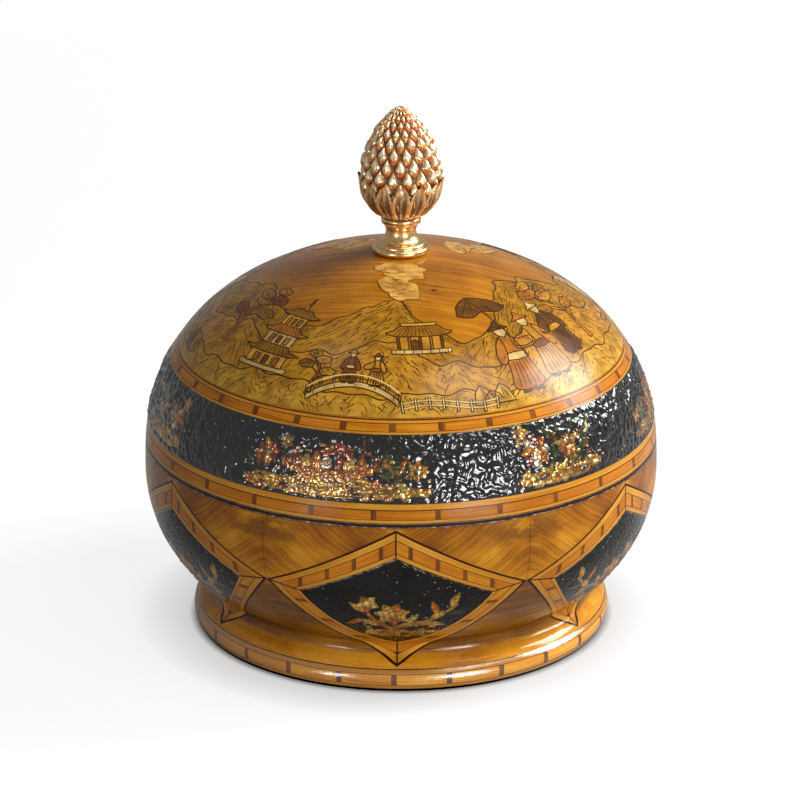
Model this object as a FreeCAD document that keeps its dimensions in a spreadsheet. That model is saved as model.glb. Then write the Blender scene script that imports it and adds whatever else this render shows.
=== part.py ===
import FreeCAD, Part
import math
import os
import Sketcher
from FreeCAD import Vector

# Round lidded box with a domed lift-off lid, veneered and banded all over, on a coved foot,
# with a turned and carved cone finial. Millimetres, +Z up, the origin on the floor under the
# centre of the box. The front is -Y: one lozenge panel faces it.

# Driving sizes: name, value. Every size is a length, apart from the counts and the one angle,
# which is how far the shoulder's arc leans in, in degrees, where the crown's arc takes over.
SIZES = [
    # Finished outer outline, a chain of tangent arcs from the foot to the crown
    ("foot_radius", 124.5),
    ("foot_round_radius", 13),
    ("foot_round_height", 7.4),
    ("cove_radius", 6),
    ("cove_depth", 9.5),
    ("belly_radius", 152.5),
    ("lower_belly_radius", 84),
    ("upper_belly_radius", 300),
    ("rim_rise", 18),
    ("shoulder_radius", 108.2),
    ("crown_join_angle", 30.15),
    # Walls and layers
    ("core_wall", 9),
    ("veneer", 1),
    ("glue_line", 0.2),
    ("felt", 0.8),
    ("overrun", 5),
    # Base
    ("base_felt_thick", 1),
    ("base_felt_margin", 3),
    ("floor_thick", 6),
    ("floor_shoulder", 15),
    ("floor_lap", 6),
    ("floor_pad_thick", 1.5),
    ("rebate_depth", 8),
    ("rim_edging_rise", 1.5),
    ("foot_banding_rise", 12.9),
    # Lozenges round the base
    ("lozenge_count", 6),
    ("lozenge_apex_rise", 14.8),
    ("junction_drop", 24.2),
    ("lozenge_tip_margin", 1.6),
    ("lozenge_bow_radius", 297),
    ("panel_apex_drop", 1.6),
    ("panel_side_drop", 27.8),
    ("panel_half_width", 55.5),
    ("panel_bottom_rise", 5.1),
    ("panel_bow_radius", 125),
    # Lid
    ("seam_gap", 0.3),
    ("ring_thick", 3.6),
    ("ring_clearance", 0.4),
    ("ring_bed", 8),
    ("lid_edging_rise", 1.2),
    ("lower_banding_rise", 11),
    ("band_panel_rise", 36.9),
    ("upper_banding_rise", 7.4),
    # Finial neck, heights counted from the crown's surface at the edge of its foot
    ("neck_foot_radius", 15.4),
    ("neck_bead_radius", 2.3),
    ("neck_bead_rise", 4.6),
    ("neck_step", 0.7),
    ("neck_shoulder_radius", 13.1),
    ("neck_shoulder_rise", 6.8),
    ("neck_radius", 8.9),
    ("neck_waist_rise", 13.4),
    ("collar_radius", 11.5),
    ("collar_rise", 18.2),
    ("collar_fillet_rise", 18.9),
    ("collar_groove", 0.7),
    ("collar_bead_radius", 1.7),
    ("neck_top_rise", 22),
    # Finial calyx and its leaves, heights counted from the top of the neck
    ("cup_foot_radius", 10.6),
    ("cup_radius", 20.4),
    ("cup_rise", 15),
    ("cup_bow_radius", 19),
    ("leaf_count", 12),
    ("leaf_sink", 1.6),
    ("leaf_root_rise", 0.4),
    ("leaf_root_radius", 11.9),
    ("leaf_root_width", 4.6),
    ("leaf_low_rise", 6.3),
    ("leaf_low_radius", 18.9),
    ("leaf_low_width", 8.6),
    ("leaf_belly_rise", 14.2),
    ("leaf_belly_radius", 23.3),
    ("leaf_belly_width", 11.2),
    ("leaf_neck_rise", 20),
    ("leaf_neck_radius", 24.2),
    ("leaf_neck_width", 7.4),
    ("leaf_tip_rise", 24.8),
    ("leaf_tip_radius", 25.7),
    ("leaf_tip_width", 0.8),
    ("leaf_free_thick", 1.3),
    # Finial cone, heights counted from the top of the cup
    ("cone_base_radius", 19.6),
    ("cone_radius", 21.9),
    ("cone_widest_rise", 8.5),
    ("cone_height", 51.6),
    ("cone_tip_radius", 3),
    ("cone_tip_rise", 1.3),
    ("scale_count", 16),
    ("scale_rows", 11),
    ("scale_relief", 1.7),
    # Finial fastening through the crown
    ("stud_radius", 4),
    ("stud_clearance", 0.1),
    ("stud_reach", 12),
    ("stud_tail", 8),
    ("washer_radius", 10),
    ("washer_thick", 1.6),
    ("nut_radius", 7.5),
    ("nut_thick", 5),
    ("lining_clearance", 1),
]

# Where a scale's raised point stands, as a share of its height, and how tall a scale is
# as a share of its width
SCALE_POINT_SHARE = 0.62
SCALE_RISE_SHARE = 0.76
FULL_TURN = 360

doc = FreeCAD.newDocument("lidded_box")
sheet = doc.addObject("Spreadsheet::Sheet", "sizes")
derived = doc.addObject("App::VarSet", "derived")


class Size:
    """A length of the model: the text of its expression, and its value in millimetres."""

    def __init__(self, text, value):
        self.text = text
        self.value = value

    def __add__(self, other):
        other = as_size(other)
        return Size(f"({self.text} + {other.text})", self.value + other.value)

    def __sub__(self, other):
        other = as_size(other)
        return Size(f"({self.text} - {other.text})", self.value - other.value)

    def __mul__(self, other):
        other = as_size(other)
        return Size(f"({self.text} * {other.text})", self.value * other.value)

    def __truediv__(self, other):
        other = as_size(other)
        return Size(f"({self.text} / {other.text})", self.value / other.value)

    def __neg__(self):
        return Size(f"(0 - {self.text})", -self.value)

    def squared(self):
        return Size(f"({self.text})^2", self.value**2)

    def root(self):
        return Size(f"sqrt({self.text})", math.sqrt(self.value))

    def sine(self):
        return Size(f"sin({self.text})", math.sin(math.radians(self.value)))


def as_size(value):
    return value if isinstance(value, Size) else Size(str(value), value)


def derive(name, size):
    """Keeps a worked-out size in the document under its own name."""
    derived.addProperty("App::PropertyFloat", name, "Derived")
    derived.setExpression(name, size.text)
    return Size(f"derived.{name}", size.value)


ZERO = Size("0", 0)
s = {}
for row, (size_name, number) in enumerate(SIZES, start=1):
    sheet.set(f"A{row}", size_name)
    sheet.set(f"B{row}", str(number))
    sheet.setAlias(f"B{row}", size_name)
doc.recompute()
for size_name, number in SIZES:
    s[size_name] = Size(f"sizes.{size_name}", float(sheet.get(size_name)))


class Arc:
    """One arc of an outline in the (radius, height) half-plane. A hollow arc bends inwards,
    with its centre outside the wall. Depth is measured from the arc into the wall."""

    def __init__(self, name, centre_r, centre_z, radius, hollow=False):
        self.r = derive(name + "_centre_r", centre_r)
        self.z = derive(name + "_centre_z", centre_z)
        self.radius = radius
        self.hollow = hollow

    def at_depth(self, depth):
        return self.radius + depth if self.hollow else self.radius - depth

    def radius_at(self, height, depth):
        reach = (self.at_depth(depth).squared() - (height - self.z).squared()).root()
        return self.r - reach if self.hollow else self.r + reach

    def height_at(self, radius, depth):
        return self.z + (self.at_depth(depth).squared() - (radius - self.r).squared()).root()

    def towards(self, other, depth):
        """The point at that depth on the line from this centre to a touching hollow's centre."""
        share = self.at_depth(depth) / (self.radius + other.radius)
        return (self.r + (other.r - self.r) * share, self.z + (other.z - self.z) * share)

    def through(self, inner, depth):
        """The point at that depth on the line from this centre through an inner arc's centre."""
        share = self.at_depth(depth) / (self.radius - inner.radius)
        return (self.r + (inner.r - self.r) * share, self.z + (inner.z - self.z) * share)


def joint(low, high, depth):
    """Where two neighbouring arcs of the outline touch, at a depth."""
    if high.hollow:
        return low.towards(high, depth)
    if low.hollow:
        return high.towards(low, depth)
    if high is crown or high is lid_cavity_crown:
        return high.through(low, depth)
    return (high.r + high.at_depth(depth), high.z)


def level(height):
    """Ends a stretch of outline at a height."""
    return lambda arc, depth: (arc.radius_at(height, depth), height)


def plumb(radius):
    """Ends a stretch of outline at a radius."""
    return lambda arc, depth: (radius, arc.height_at(radius, depth))


class Outline:
    """A closed outline of straight and round edges, started at its first point."""

    def __init__(self, point):
        self.points = [point]
        self.edges = []

    def line(self, *point):
        self.points.append(point)
        self.edges.append(None)
        return self

    def arc(self, point, radius, left):
        """An arc of under half a turn, with its centre on the left or right of the way."""
        self.points.append(point)
        self.edges.append((radius, left))
        return self

    def climb(self, chain, end, depth):
        """Follows a chain of arcs upwards from the last point."""
        for low, high in zip(chain, chain[1:]):
            self.arc(joint(low, high, depth), low.at_depth(depth), not low.hollow)
        last = chain[-1]
        return self.arc(end(last, depth), last.at_depth(depth), not last.hollow)

    def descend(self, chain, end, depth):
        """Follows a chain of arcs downwards from the last point."""
        for low, high in zip(chain[-2::-1], chain[:0:-1]):
            self.arc(joint(low, high, depth), high.at_depth(depth), high.hollow)
        first = chain[0]
        return self.arc(end(first, depth), first.at_depth(depth), first.hollow)


def layer(chain, start, end, outer_depth, inner_depth):
    """The outline of a layer that follows the wall between two depths."""
    outline = Outline(start(chain[0], outer_depth))
    outline.climb(chain, end, outer_depth)
    outline.line(*end(chain[-1], inner_depth))
    return outline.descend(chain, start, inner_depth)


def place(sketch, item, end, point):
    """Fixes one end of a sketch edge at a point whose two sizes are bound to the sheet."""
    for size, kind, axis in ((point[0], "DistanceX", -2), (point[1], "DistanceY", -1)):
        if size is ZERO:
            sketch.addConstraint(Sketcher.Constraint("PointOnObject", item, end, axis))
            continue
        number = sketch.addConstraint(Sketcher.Constraint(kind, -1, 1, item, end, size.value))
        sketch.setExpression(f"Constraints[{number}]", size.text)


def arc_geometry(start, end, radius, left):
    """A sketch arc and which of its ends starts the edge."""
    middle = (start + end) * 0.5
    along = end - start
    side = Vector(-along.y, along.x, 0).normalize()
    offset = math.sqrt(radius**2 - (along.Length / 2) ** 2)
    centre = middle + side * (offset if left else -offset)
    first, last = (start, end) if left else (end, start)
    first_angle = math.atan2(first.y - centre.y, first.x - centre.x)
    last_angle = math.atan2(last.y - centre.y, last.x - centre.x)
    if last_angle < first_angle:
        last_angle += 2 * math.pi
    circle = Part.Circle(centre, Vector(0, 0, 1), radius)
    return Part.ArcOfCircle(circle, first_angle, last_angle), (1, 2) if left else (2, 1)


def draw(sketch, outline):
    """Draws a closed outline into a sketch, every point and radius bound to the sheet."""
    points = outline.points + [outline.points[0]]
    edges = outline.edges + [None]
    if points[-2] == points[-1]:
        points.pop()
        edges.pop()
    ends = []
    for (start, end), edge in zip(zip(points, points[1:]), edges):
        low = Vector(start[0].value, start[1].value, 0)
        high = Vector(end[0].value, end[1].value, 0)
        if edge is None:
            item = sketch.addGeometry(Part.LineSegment(low, high))
            ends.append((item, 1, 2))
            continue
        radius, left = edge
        shape, (first, last) = arc_geometry(low, high, radius.value, left)
        item = sketch.addGeometry(shape)
        ends.append((item, first, last))
    for (item, _, last), (after, first, _) in zip(ends, ends[1:] + ends[:1]):
        sketch.addConstraint(Sketcher.Constraint("Coincident", item, last, after, first))
    for (item, first, _), point in zip(ends, points):
        place(sketch, item, first, point)
    for (item, _, _), edge in zip(ends, edges):
        if edge is not None:
            radius = edge[0]
            number = sketch.addConstraint(Sketcher.Constraint("Radius", item, radius.value))
            sketch.setExpression(f"Constraints[{number}]", radius.text)


def new_body(name):
    body = doc.addObject("PartDesign::Body", name)
    body.Label = name
    return body


def origin_part(body, role):
    return next(item for item in body.Origin.OriginFeatures if item.Role == role)


def sketch_on(body, plane, *outlines, height=None):
    sketch = body.newObject("Sketcher::SketchObject", f"{body.Name}_sketch")
    sketch.AttachmentSupport = [(origin_part(body, plane), "")]
    sketch.MapMode = "FlatFace"
    if height is not None:
        sketch.AttachmentOffset = FreeCAD.Placement(Vector(0, 0, height.value), FreeCAD.Rotation())
        sketch.setExpression(".AttachmentOffset.Base.z", height.text)
    for outline in outlines:
        draw(sketch, outline)
    return sketch


def turn(body, outline, kind="PartDesign::Revolution"):
    """Turns an outline round the centre line, as wood or as a cut."""
    sketch = sketch_on(body, "XZ_Plane", outline)
    feature = body.newObject(kind, f"{body.Name}_turning")
    feature.Profile = (sketch, [""])
    feature.ReferenceAxis = (sketch, ["V_Axis"])
    feature.Angle = FULL_TURN
    body.Tip = feature
    return feature


def saw_front(body, *outlines):
    """Cuts outlines, as seen from the front, through the front of the body."""
    sketch = sketch_on(body, "XZ_Plane", *outlines)
    feature = body.newObject("PartDesign::Pocket", f"{body.Name}_cut")
    feature.Profile = sketch
    feature.Type = "ThroughAll"
    feature.Reversed = True
    body.Tip = feature
    return feature


def pad_front(body, outline, length):
    """A block with an outline as seen from the front, reaching forward from the centre."""
    sketch = sketch_on(body, "XZ_Plane", outline)
    feature = body.newObject("PartDesign::Pad", f"{body.Name}_pad")
    feature.Profile = sketch
    feature.setExpression("Length", length.text)
    body.Tip = feature
    return feature


def repeat_round(body, features, count):
    """Repeats features evenly round the centre line."""
    feature = body.newObject("PartDesign::PolarPattern", f"{body.Name}_repeat")
    feature.Originals = features
    feature.Axis = (origin_part(body, "Z_Axis"), [""])
    feature.Angle = FULL_TURN
    feature.setExpression("Occurrences", count.text)
    body.Tip = feature
    return feature


# Outer outline

foot_round = Arc(
    "foot_round",
    s["foot_radius"] - s["foot_round_radius"],
    s["foot_round_height"],
    s["foot_round_radius"],
)
cove_reach = (s["foot_round_radius"] + s["cove_radius"]).squared()
cove_side = (s["foot_round_radius"] + s["cove_radius"] - s["cove_depth"]).squared()
waist_height = derive("waist_height", foot_round.z + (cove_reach - cove_side).root())
waist_radius = derive("waist_radius", s["foot_radius"] - s["cove_depth"])
cove = Arc("cove", waist_radius + s["cove_radius"], waist_height, s["cove_radius"], hollow=True)
belly_centre = s["belly_radius"] - s["lower_belly_radius"]
belly_reach = (s["lower_belly_radius"] + s["cove_radius"]).squared()
belly_rise = (belly_reach - (cove.r - belly_centre).squared()).root()
belly_height = derive("belly_height", waist_height + belly_rise)
lower_belly = Arc("lower_belly", belly_centre, belly_height, s["lower_belly_radius"])
upper_belly = Arc(
    "upper_belly",
    s["belly_radius"] - s["upper_belly_radius"],
    belly_height,
    s["upper_belly_radius"],
)
seam = derive("seam", belly_height + s["rim_rise"])
seam_radius = derive("seam_radius", upper_belly.radius_at(seam, ZERO))
seam_share = (s["upper_belly_radius"] - s["shoulder_radius"]) / s["upper_belly_radius"]
shoulder = Arc(
    "shoulder",
    upper_belly.r + (seam_radius - upper_belly.r) * seam_share,
    belly_height + s["rim_rise"] * seam_share,
    s["shoulder_radius"],
)
crown_reach = derive("crown_reach", shoulder.r / s["crown_join_angle"].sine())
crown = Arc(
    "crown",
    ZERO,
    shoulder.z - (crown_reach.squared() - shoulder.r.squared()).root(),
    derive("crown_radius", s["shoulder_radius"] + crown_reach),
)
crown_top = derive("crown_top", crown.z + crown.radius)
base_chain = [foot_round, cove, lower_belly, upper_belly]

# Inner surfaces of the walls

core_depth = derive("core_depth", s["veneer"] + s["glue_line"])
cavity_depth = derive("cavity_depth", core_depth + s["core_wall"])
floor_top = derive("floor_top", waist_height + s["floor_thick"])
floor_radius = derive("floor_radius", waist_radius - s["floor_shoulder"])
cavity_radius = derive("cavity_radius", s["belly_radius"] - cavity_depth)
cavity_side = cavity_radius - floor_radius
cavity_rise = belly_height - floor_top
cavity_bow = derive(
    "cavity_bow",
    (cavity_side.squared() + cavity_rise.squared()) / (cavity_side + cavity_side),
)
cavity_lower = Arc("cavity_lower", cavity_radius - cavity_bow, belly_height, cavity_bow)
cavity_upper = Arc(
    "cavity_upper", upper_belly.r, upper_belly.z, s["upper_belly_radius"] - cavity_depth
)
lid_cavity_shoulder = Arc(
    "lid_cavity_shoulder", shoulder.r, shoulder.z, s["shoulder_radius"] - cavity_depth
)
lid_cavity_crown = Arc("lid_cavity_crown", crown.r, crown.z, crown.radius - cavity_depth)

# Fit of the lid's ring in the rebate of the rim

lid_bottom = derive("lid_bottom", seam + s["seam_gap"])
ring_inner = derive("ring_inner", cavity_upper.radius_at(seam, ZERO))
ring_outer = derive("ring_outer", ring_inner + s["ring_thick"])
rebate_radius = derive("rebate_radius", ring_outer + s["ring_clearance"])
rebate_floor = derive("rebate_floor", seam - s["rebate_depth"])
ring_low = derive("ring_low", rebate_floor + s["seam_gap"])
ring_high = derive("ring_high", lid_bottom + s["ring_bed"])

# Heights of the bandings

foot_banding_top = derive("foot_banding_top", s["base_felt_thick"] + s["foot_banding_rise"])
base_veneer_top = derive("base_veneer_top", seam - s["rim_edging_rise"])
lid_edging_top = derive("lid_edging_top", lid_bottom + s["lid_edging_rise"])
band_low = derive("band_low", lid_edging_top + s["lower_banding_rise"])
band_high = derive("band_high", band_low + s["band_panel_rise"])
crown_veneer_low = derive("crown_veneer_low", band_high + s["upper_banding_rise"])
stud_bore = derive("stud_bore", s["stud_radius"] + s["stud_clearance"])

# Lozenges as seen from the front

half_pitch = as_size(FULL_TURN) / (s["lozenge_count"] + s["lozenge_count"])
junction_height = derive("junction_height", belly_height - s["junction_drop"])
junction_radius = lower_belly.radius_at(junction_height, s["veneer"])
junction_side = derive("junction_side", junction_radius * half_pitch.sine())
lozenge_apex = derive("lozenge_apex", belly_height + s["lozenge_apex_rise"])
lozenge_tip = derive("lozenge_tip", foot_banding_top + s["lozenge_tip_margin"])
panel_apex = derive("panel_apex", belly_height - s["panel_apex_drop"])
panel_side_height = derive("panel_side_height", belly_height - s["panel_side_drop"])
panel_bottom = derive("panel_bottom", waist_height + s["panel_bottom_rise"])


def bowed_lozenge(apex, side, side_height, bottom, bow):
    """A lozenge with straight upper edges and lower edges that bow outwards."""
    outline = Outline((ZERO, apex))
    outline.line(-side, side_height)
    outline.arc((ZERO, bottom), bow, left=True)
    outline.arc((side, side_height), bow, left=True)
    return outline


def lozenge_outline(grow):
    side = junction_side - s["glue_line"] + grow
    bow = s["lozenge_bow_radius"]
    return bowed_lozenge(lozenge_apex + grow, side, junction_height, lozenge_tip - grow, bow)


def panel_outline(grow):
    side = s["panel_half_width"] + grow
    bow = s["panel_bow_radius"]
    return bowed_lozenge(panel_apex + grow, side, panel_side_height, panel_bottom - grow, bow)


def slit(start, end):
    """A saw cut of one glue line's height or width between two points."""
    half = s["glue_line"] / 2
    across = (half, ZERO) if start[0] is ZERO else (ZERO, half)
    outline = Outline((start[0] - across[0], start[1] - across[1]))
    outline.line(end[0] - across[0], end[1] - across[1])
    outline.line(end[0] + across[0], end[1] + across[1])
    return outline.line(start[0] + across[0], start[1] + across[1])


# Base

def make_base_bowl():
    outline = Outline((floor_radius + s["floor_lap"], waist_height))
    outline.line(cove.radius_at(waist_height, core_depth), waist_height)
    outline.climb([cove, lower_belly, upper_belly], level(seam), core_depth)
    outline.line(rebate_radius, seam)
    outline.line(rebate_radius, rebate_floor)
    outline.line(cavity_upper.radius_at(rebate_floor, ZERO), rebate_floor)
    outline.descend([cavity_lower, cavity_upper], level(floor_top), ZERO)
    outline.line(floor_radius + s["floor_lap"], floor_top)
    turn(new_body("base_bowl"), outline)


def make_floor_disc():
    radius = floor_radius + s["floor_lap"] - s["glue_line"]
    outline = Outline((ZERO, waist_height))
    outline.line(radius, waist_height).line(radius, floor_top).line(ZERO, floor_top)
    turn(new_body("floor_disc"), outline)


def make_foot_plinth():
    low = s["base_felt_thick"]
    outline = Outline((ZERO, low))
    outline.line(foot_round.radius_at(low, core_depth), low)
    outline.climb([foot_round, cove], level(waist_height), core_depth)
    outline.line(ZERO, waist_height)
    turn(new_body("foot_plinth"), outline)


def make_base_felt():
    radius = foot_round.radius_at(s["base_felt_thick"], ZERO) - s["base_felt_margin"]
    outline = Outline((ZERO, ZERO))
    outline.line(radius, ZERO).line(radius, s["base_felt_thick"]).line(ZERO, s["base_felt_thick"])
    turn(new_body("base_felt"), outline)


def make_foot_banding():
    outline = layer(
        [foot_round], level(s["base_felt_thick"]), level(foot_banding_top), ZERO, s["veneer"]
    )
    turn(new_body("foot_banding"), outline)


def make_apron_veneer():
    """Six leaves over the cove, from one lozenge's tip to the next."""
    body = new_body("apron_veneer")
    chain = [foot_round, cove, lower_belly]
    turn(body, layer(chain, level(foot_banding_top), level(junction_height), ZERO, s["veneer"]))
    lozenge = saw_front(body, lozenge_outline(s["glue_line"]))
    repeat_round(body, [lozenge], s["lozenge_count"])
    split = saw_front(
        body, slit((ZERO, foot_banding_top - s["overrun"]), (ZERO, lozenge_tip + s["overrun"]))
    )
    repeat_round(body, [split], s["lozenge_count"])


def make_spandrel_veneer():
    """Twelve book-matched leaves, two between each pair of lozenges."""
    body = new_body("spandrel_veneer")
    chain = [lower_belly, upper_belly]
    turn(body, layer(chain, level(junction_height), level(base_veneer_top), ZERO, s["veneer"]))
    lozenge = saw_front(body, lozenge_outline(s["glue_line"]))
    repeat_round(body, [lozenge], s["lozenge_count"])
    split = saw_front(
        body, slit((ZERO, junction_height - s["overrun"]), (ZERO, seam + s["overrun"]))
    )
    repeat_round(body, [split], s["lozenge_count"] + s["lozenge_count"])


def face_to_layer(body):
    """Turns blocks that reach out from the centre down to the veneer's two faces."""
    far = s["belly_radius"] + s["belly_radius"]
    chain_low, chain_high = level(foot_banding_top), level(seam)
    outside = Outline(chain_low(foot_round, ZERO))
    outside.climb(base_chain, chain_high, ZERO)
    outside.line(far, seam).line(far, foot_banding_top)
    turn(body, outside, "PartDesign::Groove")
    inside = Outline(chain_low(foot_round, s["veneer"]))
    inside.climb(base_chain, chain_high, s["veneer"])
    inside.line(ZERO, seam).line(ZERO, foot_banding_top)
    turn(body, inside, "PartDesign::Groove")


def make_lozenge_panels():
    body = new_body("lozenge_panels")
    block = pad_front(body, panel_outline(ZERO), s["belly_radius"] + s["overrun"])
    repeat_round(body, [block], s["lozenge_count"])
    face_to_layer(body)


def make_lozenge_banding():
    """Four mitred strips round each lozenge panel."""
    body = new_body("lozenge_banding")
    block = pad_front(body, lozenge_outline(ZERO), s["belly_radius"] + s["overrun"])
    opening = saw_front(body, panel_outline(s["glue_line"]))
    corner = (s["panel_half_width"], panel_side_height)
    outer_corner = (junction_side, junction_height)
    mirrored = (-s["panel_half_width"], panel_side_height)
    outer_mirrored = (-junction_side, junction_height)
    mitres = saw_front(
        body,
        slit((ZERO, panel_apex - s["overrun"]), (ZERO, lozenge_apex + s["overrun"])),
        slit((ZERO, lozenge_tip - s["overrun"]), (ZERO, panel_bottom + s["overrun"])),
        slit(corner, outer_corner),
        slit(mirrored, outer_mirrored),
    )
    repeat_round(body, [block, opening, mitres], s["lozenge_count"])
    face_to_layer(body)


def make_base_rim_edging():
    outline = layer([upper_belly], level(base_veneer_top), level(seam), ZERO, s["veneer"])
    turn(new_body("base_rim_edging"), outline)


def make_base_linings():
    pad_top = floor_top + s["floor_pad_thick"]
    radius = floor_radius - s["glue_line"]
    outline = Outline((ZERO, floor_top))
    outline.line(radius, floor_top).line(radius, pad_top).line(ZERO, pad_top)
    turn(new_body("base_floor_lining"), outline)
    low = level(pad_top + s["glue_line"])
    high = level(rebate_floor)
    near, far = s["glue_line"], s["glue_line"] + s["felt"]
    outline = layer([cavity_lower, cavity_upper], low, high, near, far)
    turn(new_body("base_wall_lining"), outline)


# Lid

def make_lid_dome():
    outline = Outline((ring_outer, lid_bottom))
    outline.line(shoulder.radius_at(lid_bottom, core_depth), lid_bottom)
    outline.climb([shoulder, crown], plumb(stud_bore), core_depth)
    outline.line(stud_bore, lid_cavity_crown.height_at(stud_bore, ZERO))
    outline.descend([lid_cavity_shoulder, lid_cavity_crown], level(ring_high), ZERO)
    outline.line(ring_outer, ring_high)
    turn(new_body("lid_dome"), outline)


def make_lid_ring():
    """The ring that drops into the rebate of the base and keeps the lid in place."""
    outer = ring_outer - s["glue_line"]
    outline = Outline((ring_inner, ring_low))
    outline.line(outer, ring_low).line(outer, ring_high).line(ring_inner, ring_high)
    turn(new_body("lid_locating_ring"), outline)


def make_lid_skins():
    """The edging, the two bandings and the lacquered band, one above the other."""
    rings = (
        ("lid_rim_edging", lid_bottom, lid_edging_top),
        ("lower_banding", lid_edging_top, band_low),
        ("band_panel", band_low, band_high),
        ("upper_banding", band_high, crown_veneer_low),
    )
    for name, low, high in rings:
        turn(new_body(name), layer([shoulder], level(low), level(high), ZERO, s["veneer"]))
    outline = layer(
        [shoulder, crown], level(crown_veneer_low), plumb(stud_bore), ZERO, s["veneer"]
    )
    turn(new_body("crown_veneer"), outline)


def make_lid_lining():
    near, far = s["glue_line"], s["glue_line"] + s["felt"]
    chain = [lid_cavity_shoulder, lid_cavity_crown]
    hole = s["washer_radius"] + s["lining_clearance"]
    outline = layer(chain, level(ring_high + s["glue_line"]), plumb(hole), near, far)
    turn(new_body("lid_lining"), outline)


# Finial

neck_foot = derive("neck_foot", crown.height_at(s["neck_foot_radius"], ZERO))
neck_top = derive("neck_top", neck_foot + s["neck_top_rise"])
cup_top = derive("cup_top", neck_top + s["cup_rise"])


def hollow_between(low, high):
    """The radius of a hollow that runs upright at one end and through the other."""
    side = low[0] - high[0]
    rise = high[1] - low[1]
    return (side.squared() + rise.squared()) / (side + side)


def make_finial_neck():
    """A turned foot bead, a cove up to the waist, and a collar bead under the leaves."""
    bead_top = neck_foot + s["neck_bead_rise"]
    shoulder_point = (s["neck_shoulder_radius"], neck_foot + s["neck_shoulder_rise"])
    waist = (s["neck_radius"], neck_foot + s["neck_waist_rise"])
    collar = (s["collar_radius"], neck_foot + s["collar_rise"])
    fillet_top = neck_foot + s["collar_fillet_rise"]
    groove = s["collar_radius"] - s["collar_groove"]
    step = s["neck_foot_radius"] - s["neck_step"]
    seat = -s["glue_line"]
    outline = Outline((s["neck_foot_radius"], crown.height_at(s["neck_foot_radius"], seat)))
    outline.arc((s["neck_foot_radius"], bead_top), s["neck_bead_radius"], left=True)
    outline.line(step, bead_top)
    outline.arc(shoulder_point, s["neck_bead_radius"], left=True)
    outline.arc(waist, hollow_between(shoulder_point, waist), left=False)
    above_collar = (waist[0], collar[1] + collar[1] - waist[1])
    outline.arc(collar, hollow_between(collar, above_collar), left=False)
    outline.line(s["collar_radius"], fillet_top)
    outline.line(groove, fillet_top)
    outline.arc((groove, neck_top), s["collar_bead_radius"], left=True)
    outline.line(stud_bore, neck_top)
    outline.line(stud_bore, crown.height_at(stud_bore, seat))
    start = outline.points[0]
    outline.arc(start, crown.at_depth(seat), left=False)
    turn(new_body("finial_neck"), outline)


def leaf_section(radius, width, thick):
    """A leaf's cross-section: flat inside and ridged outside, pointing to the front."""
    inner = -(radius - thick)
    outline = Outline((-width / 2, inner))
    outline.line(ZERO, -radius).line(width / 2, inner)
    return outline


def make_finial_calyx():
    """A turned cup with a ring of pointed leaves carved on it, their tips turned out."""
    body = new_body("finial_calyx")
    outline = Outline((stud_bore, neck_top))
    outline.line(s["cup_foot_radius"], neck_top)
    outline.arc((s["cup_radius"], cup_top), s["cup_bow_radius"], left=True)
    outline.line(stud_bore, cup_top)
    turn(body, outline)
    stations = (
        ("leaf_root", s["leaf_sink"]),
        ("leaf_low", s["leaf_sink"] + s["leaf_free_thick"]),
        ("leaf_belly", s["leaf_sink"] + s["leaf_free_thick"]),
        ("leaf_neck", s["leaf_free_thick"]),
        ("leaf_tip", s["leaf_tip_width"]),
    )
    sketches = []
    for name, thick in stations:
        rise, radius, width = s[name + "_rise"], s[name + "_radius"], s[name + "_width"]
        section = leaf_section(radius, width, thick)
        sketches.append(sketch_on(body, "XY_Plane", section, height=neck_top + rise))
    leaf = body.newObject("PartDesign::AdditiveLoft", "finial_calyx_leaf")
    leaf.Profile = sketches[0]
    leaf.Sections = sketches[1:]
    leaf.Ruled = True
    body.Tip = leaf
    repeat_round(body, [leaf], s["leaf_count"])


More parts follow.
